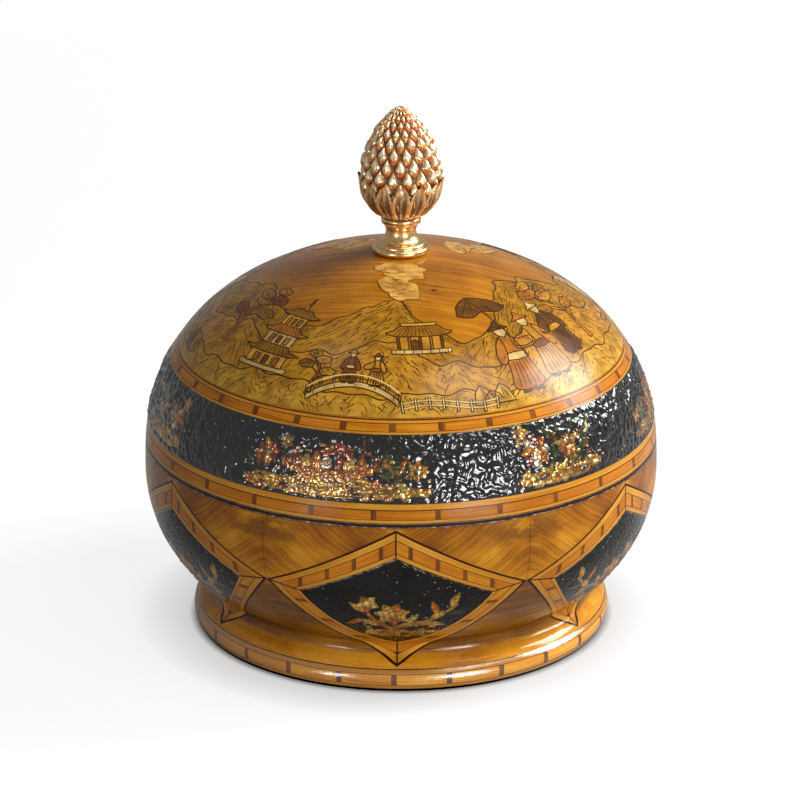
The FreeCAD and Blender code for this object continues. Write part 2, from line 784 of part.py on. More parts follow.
def make_finial_cone():
    """A cone of staggered rows of pointed scales, each four flat facets that meet in a raised
    point. The rows follow one arc each way from the widest height, and shrink with the radius."""
    count = int(s["scale_count"].value)
    rows = int(s["scale_rows"].value)
    pitch = 2 * math.pi / count
    cone_radius = s["cone_radius"].value
    base = cup_top.value
    widest = base + s["cone_widest_rise"].value
    top = base + s["cone_height"].value
    tip_ring = top - s["cone_tip_rise"].value

    def bow_through(radius, height):
        side = cone_radius - radius
        return (side**2 + (height - widest) ** 2) / (2 * side)

    low_bow = bow_through(s["cone_base_radius"].value, base)
    high_bow = bow_through(s["cone_tip_radius"].value, tip_ring)

    def slope_at(height):
        return math.asin((height - widest) / (low_bow if height < widest else high_bow))

    def radius_at(height):
        bow = low_bow if height < widest else high_bow
        return cone_radius - bow * (1 - math.cos(slope_at(height)))

    heights = [base]
    for _ in range(rows):
        rise = SCALE_RISE_SHARE * pitch * radius_at(heights[-1]) * math.cos(slope_at(heights[-1]))
        heights.append(heights[-1] + rise)
    stretch = (tip_ring - base) / (heights[-1] - base)
    heights = [base + (height - base) * stretch for height in heights]

    def point(turned, height, relief=0):
        radius = radius_at(height) + relief * math.cos(slope_at(height))
        height += relief * math.sin(slope_at(height))
        return Vector(radius * math.sin(turned), -radius * math.cos(turned), height)

    def lattice(row, column):
        return point((column + row / 2) * pitch, heights[row])

    def raised(row, column):
        low, high = heights[row], heights[row + 2]
        height = low + (high - low) * SCALE_POINT_SHARE
        swell = min(1, (height - base) / (widest - base)) * radius_at(height) / cone_radius
        return point((column + row / 2) * pitch, height, s["scale_relief"].value * swell)

    faces = []

    def facet(*corners):
        faces.append(Part.Face(Part.makePolygon(list(corners) + [corners[0]])))

    for column in range(count):
        facet(lattice(0, column), lattice(0, column + 1), lattice(1, column))
        facet(lattice(rows, column - 1), lattice(rows - 1, column), lattice(rows, column))
        facet(lattice(rows, column), lattice(rows, column - 1), Vector(0, 0, top))
        for row in range(rows - 1):
            low, right = lattice(row, column), lattice(row + 1, column)
            left, high = lattice(row + 1, column - 1), lattice(row + 2, column - 1)
            for first, second in ((low, right), (right, high), (high, left), (left, low)):
                facet(first, second, raised(row, column))
    facet(*[lattice(0, column) for column in range(count)])
    solid = Part.Solid(Part.Shell(faces))
    if solid.Volume < 0:
        solid.reverse()
    depth = s["stud_reach"].value + s["stud_clearance"].value
    bore = Part.makeCylinder(stud_bore.value, depth, Vector(0, 0, base))
    cone = doc.addObject("Part::Feature", "finial_cone")
    cone.Label = "finial_cone"
    cone.Shape = solid.cut(bore)
    cone.Placement = FreeCAD.Placement()


def upright_cylinder(name, radius, low, length):
    cylinder = doc.addObject("Part::Cylinder", name)
    cylinder.Label = name
    cylinder.setExpression("Radius", radius.text)
    cylinder.setExpression("Height", length.text)
    cylinder.setExpression(".Placement.Base.z", low.text)
    return cylinder


def make_finial_fastening():
    """A stud from the cone down through the crown, with a washer and a nut inside the lid."""
    washer_top = lid_cavity_crown.height_at(s["washer_radius"], ZERO) - s["glue_line"]
    washer_top = derive("washer_top", washer_top)
    washer_low = derive("washer_low", washer_top - s["washer_thick"])
    nut_low = derive("nut_low", washer_low - s["nut_thick"])
    stud_low = derive("stud_low", washer_top - s["stud_tail"])
    stud_length = cup_top + s["stud_reach"] - stud_low
    upright_cylinder("finial_stud", s["stud_radius"], stud_low, stud_length)
    for name, blank, low, length in (
        ("finial_washer", "Part::Cylinder", washer_low, s["washer_thick"]),
        ("finial_nut", "Part::Prism", nut_low, s["nut_thick"]),
    ):
        solid = doc.addObject(blank, name + "_blank")
        radius = "Radius" if blank == "Part::Cylinder" else "Circumradius"
        size = s["washer_radius"] if blank == "Part::Cylinder" else s["nut_radius"]
        solid.setExpression(radius, size.text)
        solid.setExpression("Height", length.text)
        solid.setExpression(".Placement.Base.z", low.text)
        bore = upright_cylinder(name + "_bore", stud_bore, low, length)
        part = doc.addObject("Part::Cut", name)
        part.Label = name
        part.Base = solid
        part.Tool = bore


make_base_bowl()
make_floor_disc()
make_foot_plinth()
make_base_felt()
make_foot_banding()
make_apron_veneer()
make_spandrel_veneer()
make_lozenge_banding()
make_lozenge_panels()
make_base_rim_edging()
make_base_linings()
make_lid_dome()
make_lid_ring()
make_lid_skins()
make_lid_lining()
make_finial_neck()
make_finial_calyx()
make_finial_cone()
make_finial_fastening()
doc.recompute()

# Checks before anything is written

NODES = [
    "base_bowl",
    "floor_disc",
    "foot_plinth",
    "base_felt",
    "foot_banding",
    "apron_veneer",
    "spandrel_veneer",
    "lozenge_banding",
    "lozenge_panels",
    "base_rim_edging",
    "base_floor_lining",
    "base_wall_lining",
    "lid_dome",
    "lid_locating_ring",
    "lid_rim_edging",
    "lower_banding",
    "band_panel",
    "upper_banding",
    "crown_veneer",
    "lid_lining",
    "finial_neck",
    "finial_calyx",
    "finial_cone",
    "finial_stud",
    "finial_washer",
    "finial_nut",
]

for item in doc.Objects:
    if "Invalid" in item.State or "Error" in item.State:
        raise RuntimeError(f"{item.Name} failed: {item.State}")
    cut = item.TypeId in ("PartDesign::Pocket", "PartDesign::Groove")
    if cut and item.Shape.Volume >= item.BaseFeature.Shape.Volume:
        raise RuntimeError(f"{item.Name} cuts nothing")

os.makedirs("parts", exist_ok=True)
for node in NODES:
    part = doc.getObject(node)
    shape = part.Shape
    if shape.isNull() or not shape.isValid() or not shape.Solids:
        raise RuntimeError(f"{node} has no valid shape")
for node in NODES:
    shape = doc.getObject(node).Shape
    shape.exportStep(f"parts/{node}.step")
    box = shape.optimalBoundingBox(False)
    print(
        f"{node}: {len(shape.Solids)} solids, {shape.Volume:.0f} mm3,"
        f" z {box.ZMin:.2f} to {box.ZMax:.2f}, reach {box.XMax:.2f}"
    )
print(f"belly height {belly_height.value:.2f}, seam {seam.value:.2f}, crown {crown_top.value:.2f}")
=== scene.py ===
import math
import bpy
import numpy as np
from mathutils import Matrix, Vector
from mathutils.geometry import delaunay_2d_cdt


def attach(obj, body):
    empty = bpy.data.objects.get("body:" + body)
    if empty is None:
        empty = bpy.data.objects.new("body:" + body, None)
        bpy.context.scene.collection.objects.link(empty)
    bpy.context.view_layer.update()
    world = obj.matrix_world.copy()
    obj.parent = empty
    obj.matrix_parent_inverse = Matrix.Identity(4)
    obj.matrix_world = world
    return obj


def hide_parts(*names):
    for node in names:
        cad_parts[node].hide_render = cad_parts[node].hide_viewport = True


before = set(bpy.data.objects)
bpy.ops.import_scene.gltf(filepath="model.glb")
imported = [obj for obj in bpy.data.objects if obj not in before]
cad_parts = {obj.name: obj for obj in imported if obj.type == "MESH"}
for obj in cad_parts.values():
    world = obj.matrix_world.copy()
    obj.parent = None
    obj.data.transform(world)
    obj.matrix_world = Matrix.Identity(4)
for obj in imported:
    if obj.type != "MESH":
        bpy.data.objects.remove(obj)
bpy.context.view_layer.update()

# Round lidded box, dressed over its CAD frame. Lengths are in millimetres here and go to
# metres when a mesh is made. The front is -Y, and a turn is counted from the front towards +X.

MM = 0.001
SEED = 241
rng = np.random.default_rng(SEED)

# Outer outline of the box, as arcs: centre radius, centre height, radius

FOOT_ROUND = (111.5, 7.4, 13.0)
COVE = (121.0, 23.85, 6.0)
LOWER_BELLY = (68.5, 96.96, 84.0)
UPPER_BELLY = (-147.5, 96.96, 300.0)
SHOULDER = (43.95, 108.46, 108.2)
CROWN = (0.0, 32.79, 195.71)
FOOT_LOW = 1.0
FOOT_BANDING_TOP = 13.9
BELLY = 96.96
SEAM = 114.96
EDGING_TOP = 116.46
BAND_LOW = 127.46
BAND_HIGH = 164.36
CROWN_VENEER_LOW = 171.76
CROWN_TOP = 228.5
VENEER = 1.0

# Lozenges as seen from straight in front: half widths and heights

PITCH = 60
LOZENGE_APEX = 111.76
LOZENGE_SIDE = (73.75, 72.76)
LOZENGE_TIP = 15.5
LOZENGE_BOW = 297.0
PANEL_APEX = 95.36
PANEL_SIDE = (55.5, 69.16)
PANEL_BOTTOM = 28.95
PANEL_BOW = 125.0

# Finial sizes

NECK_TOP = 249.9
CUP_TOP = 264.9
CONE_WIDEST = 273.4
CONE_TOP = 316.49
CONE_BASE_RADIUS = 19.6
CONE_RADIUS = 21.9
SCALE_COUNT = 16
SCALE_ROWS = 10


# Outline tables

ARC_STEPS = 240


def arc_points(arc, low, high, hollow=False):
    """Points and outward normals along one arc between two heights."""
    centre_r, centre_z, radius = arc
    side = -1 if hollow else 1
    first = math.asin(np.clip((low - centre_z) / radius, -1, 1))
    last = math.asin(np.clip((high - centre_z) / radius, -1, 1))
    turned = np.linspace(first, last, ARC_STEPS)
    r = centre_r + side * radius * np.cos(turned)
    z = centre_z + radius * np.sin(turned)
    return np.stack([r, z, np.cos(turned), side * np.sin(turned)], 1)


def touch(first, second, away=1):
    """The height at which two arcs touch, from outside or, with away -1, from inside."""
    return first[1] + (second[1] - first[1]) * first[2] / (first[2] + away * second[2])


FOOT_COVE = touch(FOOT_ROUND, COVE)
COVE_BELLY = touch(LOWER_BELLY, COVE)
SHOULDER_CROWN = touch(CROWN, SHOULDER, -1)
OUTLINE = np.concatenate([
    arc_points(FOOT_ROUND, FOOT_LOW, FOOT_COVE),
    arc_points(COVE, FOOT_COVE, COVE_BELLY, hollow=True)[1:],
    arc_points(LOWER_BELLY, COVE_BELLY, BELLY)[1:],
    arc_points(UPPER_BELLY, BELLY, SEAM)[1:],
    arc_points(SHOULDER, SEAM, SHOULDER_CROWN)[1:],
    arc_points(CROWN, SHOULDER_CROWN, CROWN_TOP)[1:],
])
OUTLINE_LENGTH = np.concatenate(
    [[0], np.cumsum(np.hypot(np.diff(OUTLINE[:, 0]), np.diff(OUTLINE[:, 1])))]
)


def length_at(height):
    """How far along the outline a height is."""
    return np.interp(height, OUTLINE[:, 1], OUTLINE_LENGTH)


def on_outline(along):
    """Radius, height and outward normal at a length along the outline."""
    return [np.interp(along, OUTLINE_LENGTH, OUTLINE[:, column]) for column in range(4)]


def around_axis(r, turned, z):
    """Points at a radius, a turn in radians and a height."""
    return np.stack(np.broadcast_arrays(r * np.sin(turned), -r * np.cos(turned), z), -1)


def on_skin(turned, along, proud):
    """Points proud of the box's skin, from a turn in radians and a length along the outline."""
    r, z, out, up = on_outline(along)
    return around_axis(r + proud * out, turned, z + proud * up)


# Materials: numbers that nodes work out at each point

def tint(red, green, blue):
    """A colour as a screen shows it, 0 to 255, in linear light."""
    shown = np.array([red, green, blue]) / 255
    linear = np.where(shown <= 0.04045, shown / 12.92, ((shown + 0.055) / 1.055) ** 2.4)
    return (*(float(value) for value in linear), 1.0)


def feed(tree, socket, value):
    """Links or sets a socket."""
    if isinstance(value, Field):
        value = value.source
    if isinstance(value, bpy.types.NodeSocket):
        tree.links.new(value, socket)
    else:
        socket.default_value = value


def add_node(tree, kind, inputs, **settings):
    """A new node, with its settings and then what goes into its sockets."""
    node = tree.nodes.new("ShaderNode" + kind)
    for name, value in settings.items():
        setattr(node, name, value)
    for key, value in inputs.items():
        feed(tree, node.inputs[key], value)
    return node


class Field:
    """A number that nodes work out at each point of a surface."""

    def __init__(self, tree, source):
        self.tree, self.source = tree, source

    def math(self, operation, *others):
        node = add_node(self.tree, "Math", dict(enumerate((self,) + others)), operation=operation)
        return Field(self.tree, node.outputs[0])

    def __add__(self, other):
        return self.math("ADD", other)

    def __sub__(self, other):
        return self.math("SUBTRACT", other)

    def __mul__(self, other):
        return self.math("MULTIPLY", other)

    def __truediv__(self, other):
        return self.math("DIVIDE", other)

    def __rsub__(self, other):
        return (self * -1) + other

    __radd__, __rmul__ = __add__, __mul__

    def root(self):
        return self.math("SQRT")

    def size(self):
        return self.math("ABSOLUTE")

    def wrap(self, low, high):
        return self.math("WRAP", high, low)

    def above(self, edge, soft):
        """0 below an edge and 1 above it, with a soft step."""
        inputs = {"Value": self, "From Min": edge - soft, "From Max": edge + soft}
        node = add_node(self.tree, "MapRange", inputs, interpolation_type="SMOOTHSTEP")
        return Field(self.tree, node.outputs["Result"])

    def below(self, edge, soft):
        return 1 - self.above(edge, soft)

    def between(self, low, high, soft):
        return self.above(low, soft) - self.above(high, soft)

    def ramp(self, *stops):
        """A colour from this number: stops are (place, red, green, blue), as tint takes them."""
        node = add_node(self.tree, "ValToRGB", {"Fac": self})
        elements = node.color_ramp.elements
        while len(elements) < len(stops):
            elements.new(0.5)
        for element, (spot, *colour) in zip(elements, stops):
            element.position, element.color = spot, tint(*colour)
        return node.outputs["Color"]


class Surface:
    """A new node material, with the places of the object's own frame in millimetres."""

    def __init__(self, name, **sockets):
        self.material = bpy.data.materials.new(name)
        self.material.use_nodes = True
        self.tree = self.material.node_tree
        self.shader = self.tree.nodes["Principled BSDF"]
        for socket, value in sockets.items():
            self.shader.inputs[socket.replace("_", " ")].default_value = value
        place = add_node(self.tree, "TexCoord", {}).outputs["Object"]
        split = add_node(self.tree, "SeparateXYZ", {0: place})
        places = [Field(self.tree, split.outputs[axis]) * (1 / MM) for axis in "XYZ"]
        self.x, self.y, self.z = places

    def openness(self, distance):
        """1 where nothing stands near, down to about a half beside a wall."""
        node = add_node(self.tree, "AmbientOcclusion", {"Distance": distance})
        return Field(self.tree, node.outputs["AO"])

    def attribute(self, name, output="Fac"):
        node = add_node(self.tree, "Attribute", {}, attribute_name=name)
        return Field(self.tree, node.outputs[output])

    def reach(self):
        """The distance from the box's axis."""
        return (self.x * self.x + self.y * self.y).root()

    def turned(self):
        """The turn from the front, in degrees."""
        return self.x.math("ARCTAN2", self.y * -1) * (180 / math.pi)

    def noise(self, place, detail=2, roughness=0.5, distortion=0.0):
        """Noise from 0 to 1 at a place given as three numbers."""
        join = add_node(self.tree, "CombineXYZ", dict(enumerate(place)))
        node = add_node(self.tree, "TexNoise", {
            "Vector": join.outputs[0], "Scale": 1, "Detail": detail, "Roughness": roughness,
            "Distortion": distortion,
        })
        return Field(self.tree, node.outputs["Fac"])

    def specks(self, scale, detail=3, roughness=0.5, shift=0):
        """Noise that is alike in all directions."""
        places = [axis * scale + shift for axis in (self.x, self.y, self.z)]
        return self.noise(places, detail, roughness)

    def mix(self, share, first, second, blend="MIX"):
        inputs = {0: share, 6: first, 7: second}
        return add_node(self.tree, "Mix", inputs, data_type="RGBA", blend_type=blend).outputs[2]

    def link(self, socket, value):
        feed(self.tree, self.shader.inputs[socket], value)

    def finish(self, colour, height, depth_mm):
        """The material, with its colour and a bump."""
        inputs = {"Strength": 1, "Distance": depth_mm * MM, "Height": height}
        normal = add_node(self.tree, "Bump", inputs).outputs["Normal"]
        for socket, value in (("Base Color", colour), ("Normal", normal), ("Coat Normal", normal)):
            self.link(socket, value)
        return self.material


# Veneers: a ramp's stops are the tone of the grain, then red, green and blue

LACQUER = dict(Roughness=0.42, Specular_IOR_Level=0.05, Coat_Weight=0.75, Coat_Roughness=0.09,
               Coat_IOR=1.36)
SATINWOOD = ((0.08, 84, 40, 4), (0.34, 134, 76, 6), (0.54, 170, 104, 12), (0.74, 200, 132, 22),
             (0.94, 220, 156, 46))
# The apron's ramp is darker than the satinwood's: painted shade of the cove under the belly.
APRON_IN_SHADE = ((0.10, 50, 22, 2), (0.38, 94, 53, 4), (0.58, 132, 80, 6), (0.88, 174, 114, 18))
STRIP = ((0.10, 146, 82, 12), (0.40, 192, 124, 26), (0.60, 210, 142, 38), (0.90, 226, 166, 60))
BLOCK = ((0.10, 130, 66, 6), (0.40, 178, 102, 10), (0.60, 200, 122, 18), (0.90, 220, 148, 40))
# The foot's blocks: a lighter copy of the block ramp, as painted light on the foot.
FOOT_BLOCK_LIT = ((0.10, 166, 92, 10), (0.40, 216, 136, 20), (0.60, 234, 158, 34), (0.90, 246, 184, 64))
SEPARATOR = ((0.20, 74, 32, 8), (0.50, 112, 60, 18), (0.80, 144, 86, 32))
CORE = ((0.25, 96, 58, 28), (0.50, 132, 86, 46), (0.75, 158, 110, 64))
DARK_LINE = tint(54, 20, 8)
PORE_DEPTH = 0.05
PER_DEGREE = 2.4


def wood(surface, along, across, seed, stops=SATINWOOD, contrast=1.0, swirl=0.4, warp_mm=6,
         fine=1.0, cloudy=0.65):
    """The colour of one veneer, with its grain along the first place in millimetres, and a
    number that is high in its pores."""
    warp = surface.noise((along * 0.018, across * 0.05, seed)) - 0.5
    bent = across + warp * warp_mm
    streak = surface.noise((along * 0.014, bent * (0.34 * fine), seed + 3.1), 6, 0.68, swirl)
    line = surface.noise((along * 0.035, bent * (1.9 * fine), seed + 5.3), 3)
    pore = surface.noise((along * 0.16, bent * 4.5, seed + 7.7))
    cloud = surface.noise((along * 0.03, across * 0.03, seed + 9.2))
    tone = (streak - 0.5) * 0.95 + (line - 0.5) * 0.55 + (pore - 0.5) * 0.25
    tone = tone + (cloud - 0.5) * cloudy
    return (tone * contrast + 0.54).ramp(*stops), pore


# Bandings round the box

FOOT_BLOCKS = (24, -0.8, 0.75)
FOOT_ROWS = ((-0.5, "line"), (0.05, "strip"), (0.215, "line"), (0.245, "block"), (0.745, "line"),
             (0.775, "strip"), (0.955, "line"))
LOWER_BLOCKS = (26, -4.8, 0.62)
LOWER_ROWS = ((-0.5, "strip"), (0.14, "line"), (0.17, "block"), (0.64, "line"), (0.70, "strip"))
UPPER_BLOCKS = (30, -1.0, 0.85)
UPPER_ROWS = ((-0.5, "strip"), (0.15, "line"), (0.19, "block"), (0.70, "line"), (0.75, "strip"),
              (0.92, "line"))
FOOT_BULGE = 1.1
BULGE_LEVEL = 0.3


def banded_ring(name, low, high, rows, blocks, seed, block_stops=BLOCK, bulge_mm=0.0, **sockets):
    """A banding round the box, from one height to another.

    Rows are (share of the height, what starts there). Blocks are how many, the turn of the first
    separator and half its width in degrees. A bulge shades the banding as if it were rounder,
    with its fullest place a little below the middle."""
    surface = Surface(name, **{**LACQUER, **sockets})
    turned = surface.turned()
    wobble = surface.noise((turned * 0.8, 0.0, seed), 3) - 0.5
    level = (surface.z - low) / (high - low)
    share = level + wobble * 0.035
    count, first, half_width = blocks
    pitch = 360 / count
    along, across = turned * PER_DEGREE, surface.z * 1.3
    strip, _ = wood(surface, along, across, seed, STRIP)
    cell = ((turned - first) / pitch).math("FLOOR")
    block, pore = wood(surface, along, across + cell * 17.3, seed + 20, block_stops)
    shift = surface.noise((cell * 3.7, seed, 0.5), 0)
    block = surface.mix(shift.above(0.55, 0.12) * 0.35, block, tint(176, 96, 30))
    separator, _ = wood(surface, surface.z * 2.0, along, seed + 40, SEPARATOR)
    place = (turned - first).wrap(-pitch / 2, pitch / 2)
    block = surface.mix(place.size().below(half_width, 0.08), block, separator)
    fills = {"block": block, "strip": strip, "line": DARK_LINE}
    colour = strip
    for (start, kind), (end, _) in zip(rows, rows[1:] + ((1.5, ""),)):
        colour = surface.mix(share.between(start, end, 0.012), colour, fills[kind])
    below = level - BULGE_LEVEL
    height = pore - below * below * (4 * bulge_mm / PORE_DEPTH)
    return surface.finish(colour, height, PORE_DEPTH)


def grain_feather(surface):
    """Book-matched leaves whose grain falls away from the line between two lozenges."""
    turned = surface.turned()
    place = turned.wrap(0, PITCH) - PITCH / 2
    drift = surface.noise((turned * 0.10, surface.z * 0.05, 6.0)) - 0.5
    side = (place * place + 1.2).root() * 2.6 + drift * 6
    rise = surface.z - BELLY
    return side * 0.70 - rise * 0.72, rise * 0.72 + side * 0.66 + side * rise * 0.006


def grain_crown(surface):
    """Grain of the crown, laid from left to right over the dome."""
    return surface.x, surface.y * 0.8 + surface.z * 0.55 + surface.x * 0.12


def bow_centre(side, bottom, bow):
    """Centre of the arc that bows out from a lower corner on the axis to a side corner."""
    half = Vector((side[0], side[1] - bottom)) / 2
    normal = Vector((-half.y, half.x)).normalized()
    return Vector((0, bottom)) + half + normal * math.sqrt(bow**2 - half.length_squared)


def lozenge_edges(surface):
    """Distances inside the edges of the nearest lozenge: upper and lower outer edges, upper and
    lower edges of its panel, and the place across it."""
    phi = surface.turned().wrap(-PITCH / 2, PITCH / 2) * (math.pi / 180)
    across = surface.reach() * phi.math("SINE")
    x, z = across.size(), surface.z

    def upper(apex, side):
        slope = (apex - side[1]) / side[0]
        return (apex - x * slope - z) * (1 / math.hypot(1, slope))

    def lower(side, bottom, bow):
        centre = bow_centre(side, bottom, bow)
        gap_x, gap_z = x - centre.x, z - centre.y
        return bow - (gap_x * gap_x + gap_z * gap_z).root()

    return (upper(LOZENGE_APEX, LOZENGE_SIDE), lower(LOZENGE_SIDE, LOZENGE_TIP, LOZENGE_BOW),
            upper(PANEL_APEX, PANEL_SIDE), lower(PANEL_SIDE, PANEL_BOTTOM, PANEL_BOW), across)


EDGE_LINE = 0.46


def outlined(surface, colour, inside):
    """A veneer with the dark line of the lozenge beside it."""
    return surface.mix((inside * -1).below(EDGE_LINE, 0.14), colour, DARK_LINE)


SPANDREL_CLOUD = 106.0
RIM_STAIN = 112.6


def spandrel_wood():
    """Feathered leaves with dark clouds, small knots and a stain along the rim."""
    surface = Surface("spandrel_wood", **LACQUER)
    along, across = grain_feather(surface)
    colour, pore = wood(surface, along, across, 8.0, swirl=0.5, warp_mm=5, fine=1.5, cloudy=1.3)
    turned, z = surface.turned(), surface.z
    place = turned.wrap(0, PITCH) - PITCH / 2
    cloud = surface.noise((turned * 0.16, z * 0.10, 4.0), 3)
    rise = z - SPANDREL_CLOUD
    middle = (place * place * 0.006 + rise * rise * 0.008).below(0.6, 0.6)
    knot = surface.noise((turned * 0.5, z * 0.22, 15.0), 3, distortion=2.0)
    rim = z.above(RIM_STAIN, 0.5) * surface.noise((turned, 0.0, 3.0), 4)
    seam = (place.size() * 2.6).below(0.16, 0.14)
    for share, stain in (
        (middle * cloud.above(0.46, 0.10) * 0.75, (104, 56, 14)),
        (knot.above(0.68, 0.05) * 0.5, (96, 50, 8)),
        (rim, (112, 62, 24)),
        (seam * 0.5, (92, 46, 12)),
    ):
        colour = surface.mix(share, colour, tint(*stain))
    colour = outlined(surface, colour, lozenge_edges(surface)[0])
    return surface.finish(colour, pore, PORE_DEPTH)


# Below this height the apron pales: painted light on the lower edge of the cove.
APRON_LIT_EDGE = 20.5


def apron_wood_painted_shade_and_light():
    """Veneer in the cove, darkened with painted shade under the belly, which pales with painted
    light to the foot's colour at its lower edge.
    """
    surface = Surface("apron_wood_painted_shade_and_light", **{**LACQUER, "Coat_IOR": 1.5})
    along, across = surface.turned() * PER_DEGREE, surface.z + surface.reach() * 0.7
    colour, pore = wood(surface, along, across, 5.0, APRON_IN_SHADE)
    foot, _ = wood(surface, along, across, 5.0, FOOT_BLOCK_LIT)
    # Painted light: the cove's lower edge takes the lighter colour of the lit foot.
    colour = surface.mix(surface.z.below(APRON_LIT_EDGE, 3.0) * 0.85, colour, foot)
    colour = outlined(surface, colour, lozenge_edges(surface)[1])
    return surface.finish(colour, pore, PORE_DEPTH)


FRAME_SPACING = 17.5
FRAME_STARTS = (9.5, 24.0)
FRAME_SEPARATOR = 1.45
FRAME_LINE = 0.45
MITRE_LINE = 0.40


def lozenge_frame():
    """The mitred banding round the panels, drawn by distances to its edges."""
    surface = Surface("lozenge_banding_wood", **LACQUER)
    upper_outer, lower_outer, upper_panel, lower_panel, x_signed = lozenge_edges(surface)
    x, z = x_signed.size(), surface.z
    mitre = Vector(LOZENGE_SIDE) - Vector(PANEL_SIDE)
    mitre.normalize()
    off_mitre = (z - PANEL_SIDE[1]) * mitre.x - (x - PANEL_SIDE[0]) * mitre.y
    is_upper = off_mitre.above(0, 0.02)

    def choose(first, second):
        return first * is_upper + second * (1 - is_upper)

    outer = choose(upper_outer, lower_outer)
    inner = choose(upper_panel * -1, lower_panel * -1)
    wobble = surface.noise((x_signed * 0.09, z * 0.09, 2.0), 3) - 0.5
    share = outer / (outer + inner) + wobble * 0.03
    along, across = choose(x * 1.13, (z - LOZENGE_TIP) * 1.28), outer * 1.2
    start = is_upper * FRAME_STARTS[0] + (1 - is_upper) * FRAME_STARTS[1]
    place = (along - start).wrap(-FRAME_SPACING / 2, FRAME_SPACING / 2)
    cell = ((along - start) / FRAME_SPACING).math("FLOOR")
    cell = cell + is_upper * 5.3 + x_signed.above(0, 0.01) * 3.1
    colour, _ = wood(surface, along, across, 11.0, STRIP)
    block, pore = wood(surface, along, across + cell * 13.7, 31.0, BLOCK)
    separator, _ = wood(surface, across, along, 51.0, SEPARATOR)
    block = surface.mix(place.size().below(FRAME_SEPARATOR, 0.12), block, separator)
    for low, high, fill in ((-1.0, 0.065, DARK_LINE), (0.315, 0.35, DARK_LINE),
                            (0.35, 0.80, block), (0.80, 0.83, DARK_LINE)):
        colour = surface.mix(share.between(low, high, 0.014), colour, fill)
    off_line = x.above(FRAME_LINE, 0.12) * off_mitre.size().above(MITRE_LINE, 0.12)
    colour = surface.mix(off_line, DARK_LINE, colour)
    return surface.finish(colour, pore, PORE_DEPTH)


KNOT = (19.8, -50.1)
KNOT_SIZE = 1.3


def crown_wood():
    """The crown's veneer, with one small dark knot."""
    surface = Surface("crown_wood", **LACQUER)
    along, across = grain_crown(surface)
    x, y = surface.x - KNOT[0], surface.y - KNOT[1]
    reach = (x * x + y * y * 3).root()
    pull = (reach * 0.25 + 1).math("POWER", -2.0)
    colour, pore = wood(surface, along, across + pull * 5, 2.0, contrast=0.85)
    colour = surface.mix(reach.below(KNOT_SIZE * 1.8, 1.2) * 0.5, colour, tint(96, 52, 10))
    colour = surface.mix(reach.below(KNOT_SIZE, 0.4), colour, tint(30, 12, 4))
    return surface.finish(colour, pore, PORE_DEPTH)


def drawn_wood(name, show):
    """Stained veneer or ink in the colour painted on each form, with the crown's grain in it."""
    surface = Surface(name, **LACQUER)
    along, across = grain_crown(surface)
    grain, pore = wood(surface, along, across, 2.0, contrast=0.8)
    colour = surface.mix(show, surface.attribute("paint", "Color"), grain)
    shade = surface.specks(0.12, 4).ramp((0.30, 150, 132, 104), (0.60, 255, 255, 255))
    colour = surface.mix(show * 2, colour, shade, "MULTIPLY")
    return surface.finish(colour, pore, PORE_DEPTH)


# Other materials

FOOT_SHADOW = 1.05


def core_wood():
    """Plain core wood, with painted shadow on the underside of the foot."""
    surface = Surface("core_wood", Roughness=0.62, Coat_Weight=0.15, Coat_Roughness=0.4)
    colour, pore = wood(surface, surface.x, surface.y + surface.z, 61.0, CORE)
    colour = surface.mix(surface.z.above(FOOT_SHADOW, 0.1), tint(26, 13, 8), colour)
    return surface.finish(colour, pore, 0.12)


def felt():
    surface = Surface("lining_felt", Roughness=0.95, Sheen_Weight=0.35, Sheen_Roughness=0.5)
    fibre = surface.specks(1.6, 6)
    cloud = surface.specks(0.03, 2)
    colour = (fibre * 0.6 + cloud * 0.4).ramp((0.3, 38, 24, 18), (0.7, 74, 50, 38))
    return surface.finish(colour, fibre, 0.25)


# Below this height the edging is pale: wear, with a painted highlight in it.
WORN_HIGHLIGHT_EDGE = 114.05
BROWN_EDGE = 115.45


def edging():
    """Dark rim edgings: brown at the top, black beside the seam, and pale at the bottom with wear
    and a painted highlight of the rounded edge.
    """
    surface = Surface("dark_edging", Roughness=0.4, Specular_IOR_Level=0.2, Coat_Weight=0.4,
                      Coat_Roughness=0.08)
    turned, z = surface.turned(), surface.z
    stain = surface.noise((turned * 2.0, z * 0.8, 3.0), 4)
    wear_and_highlight = surface.noise((turned * 0.5, z * 0.6, 9.0), 5, 0.7)
    colour = stain.ramp((0.3, 12, 6, 5), (0.7, 38, 18, 14))
    pale = wear_and_highlight.ramp((0.42, 66, 34, 22), (0.54, 140, 98, 72), (0.66, 232, 208, 184))
    brown = wear_and_highlight.ramp((0.35, 58, 34, 24), (0.60, 124, 88, 66))
    colour = surface.mix(z.above(BROWN_EDGE, 0.1), colour, brown)
    # Pale strip at the bottom: wear, and a painted highlight of the edge.
    colour = surface.mix(z.below(WORN_HIGHLIGHT_EDGE, 0.12), colour, pale)
    return surface.finish(colour, stain, 0.08)


def steel():
    surface = Surface("steel", Metallic=1.0, Roughness=0.35)
    mark = surface.noise((surface.x * 0.4, surface.y * 0.4, surface.z * 3.0), 4)
    surface.link("Base Color", mark.ramp((0.3, 120, 118, 112), (0.7, 168, 166, 160)))
    surface.link("Roughness", mark * 0.25 + 0.25)
    return surface.material


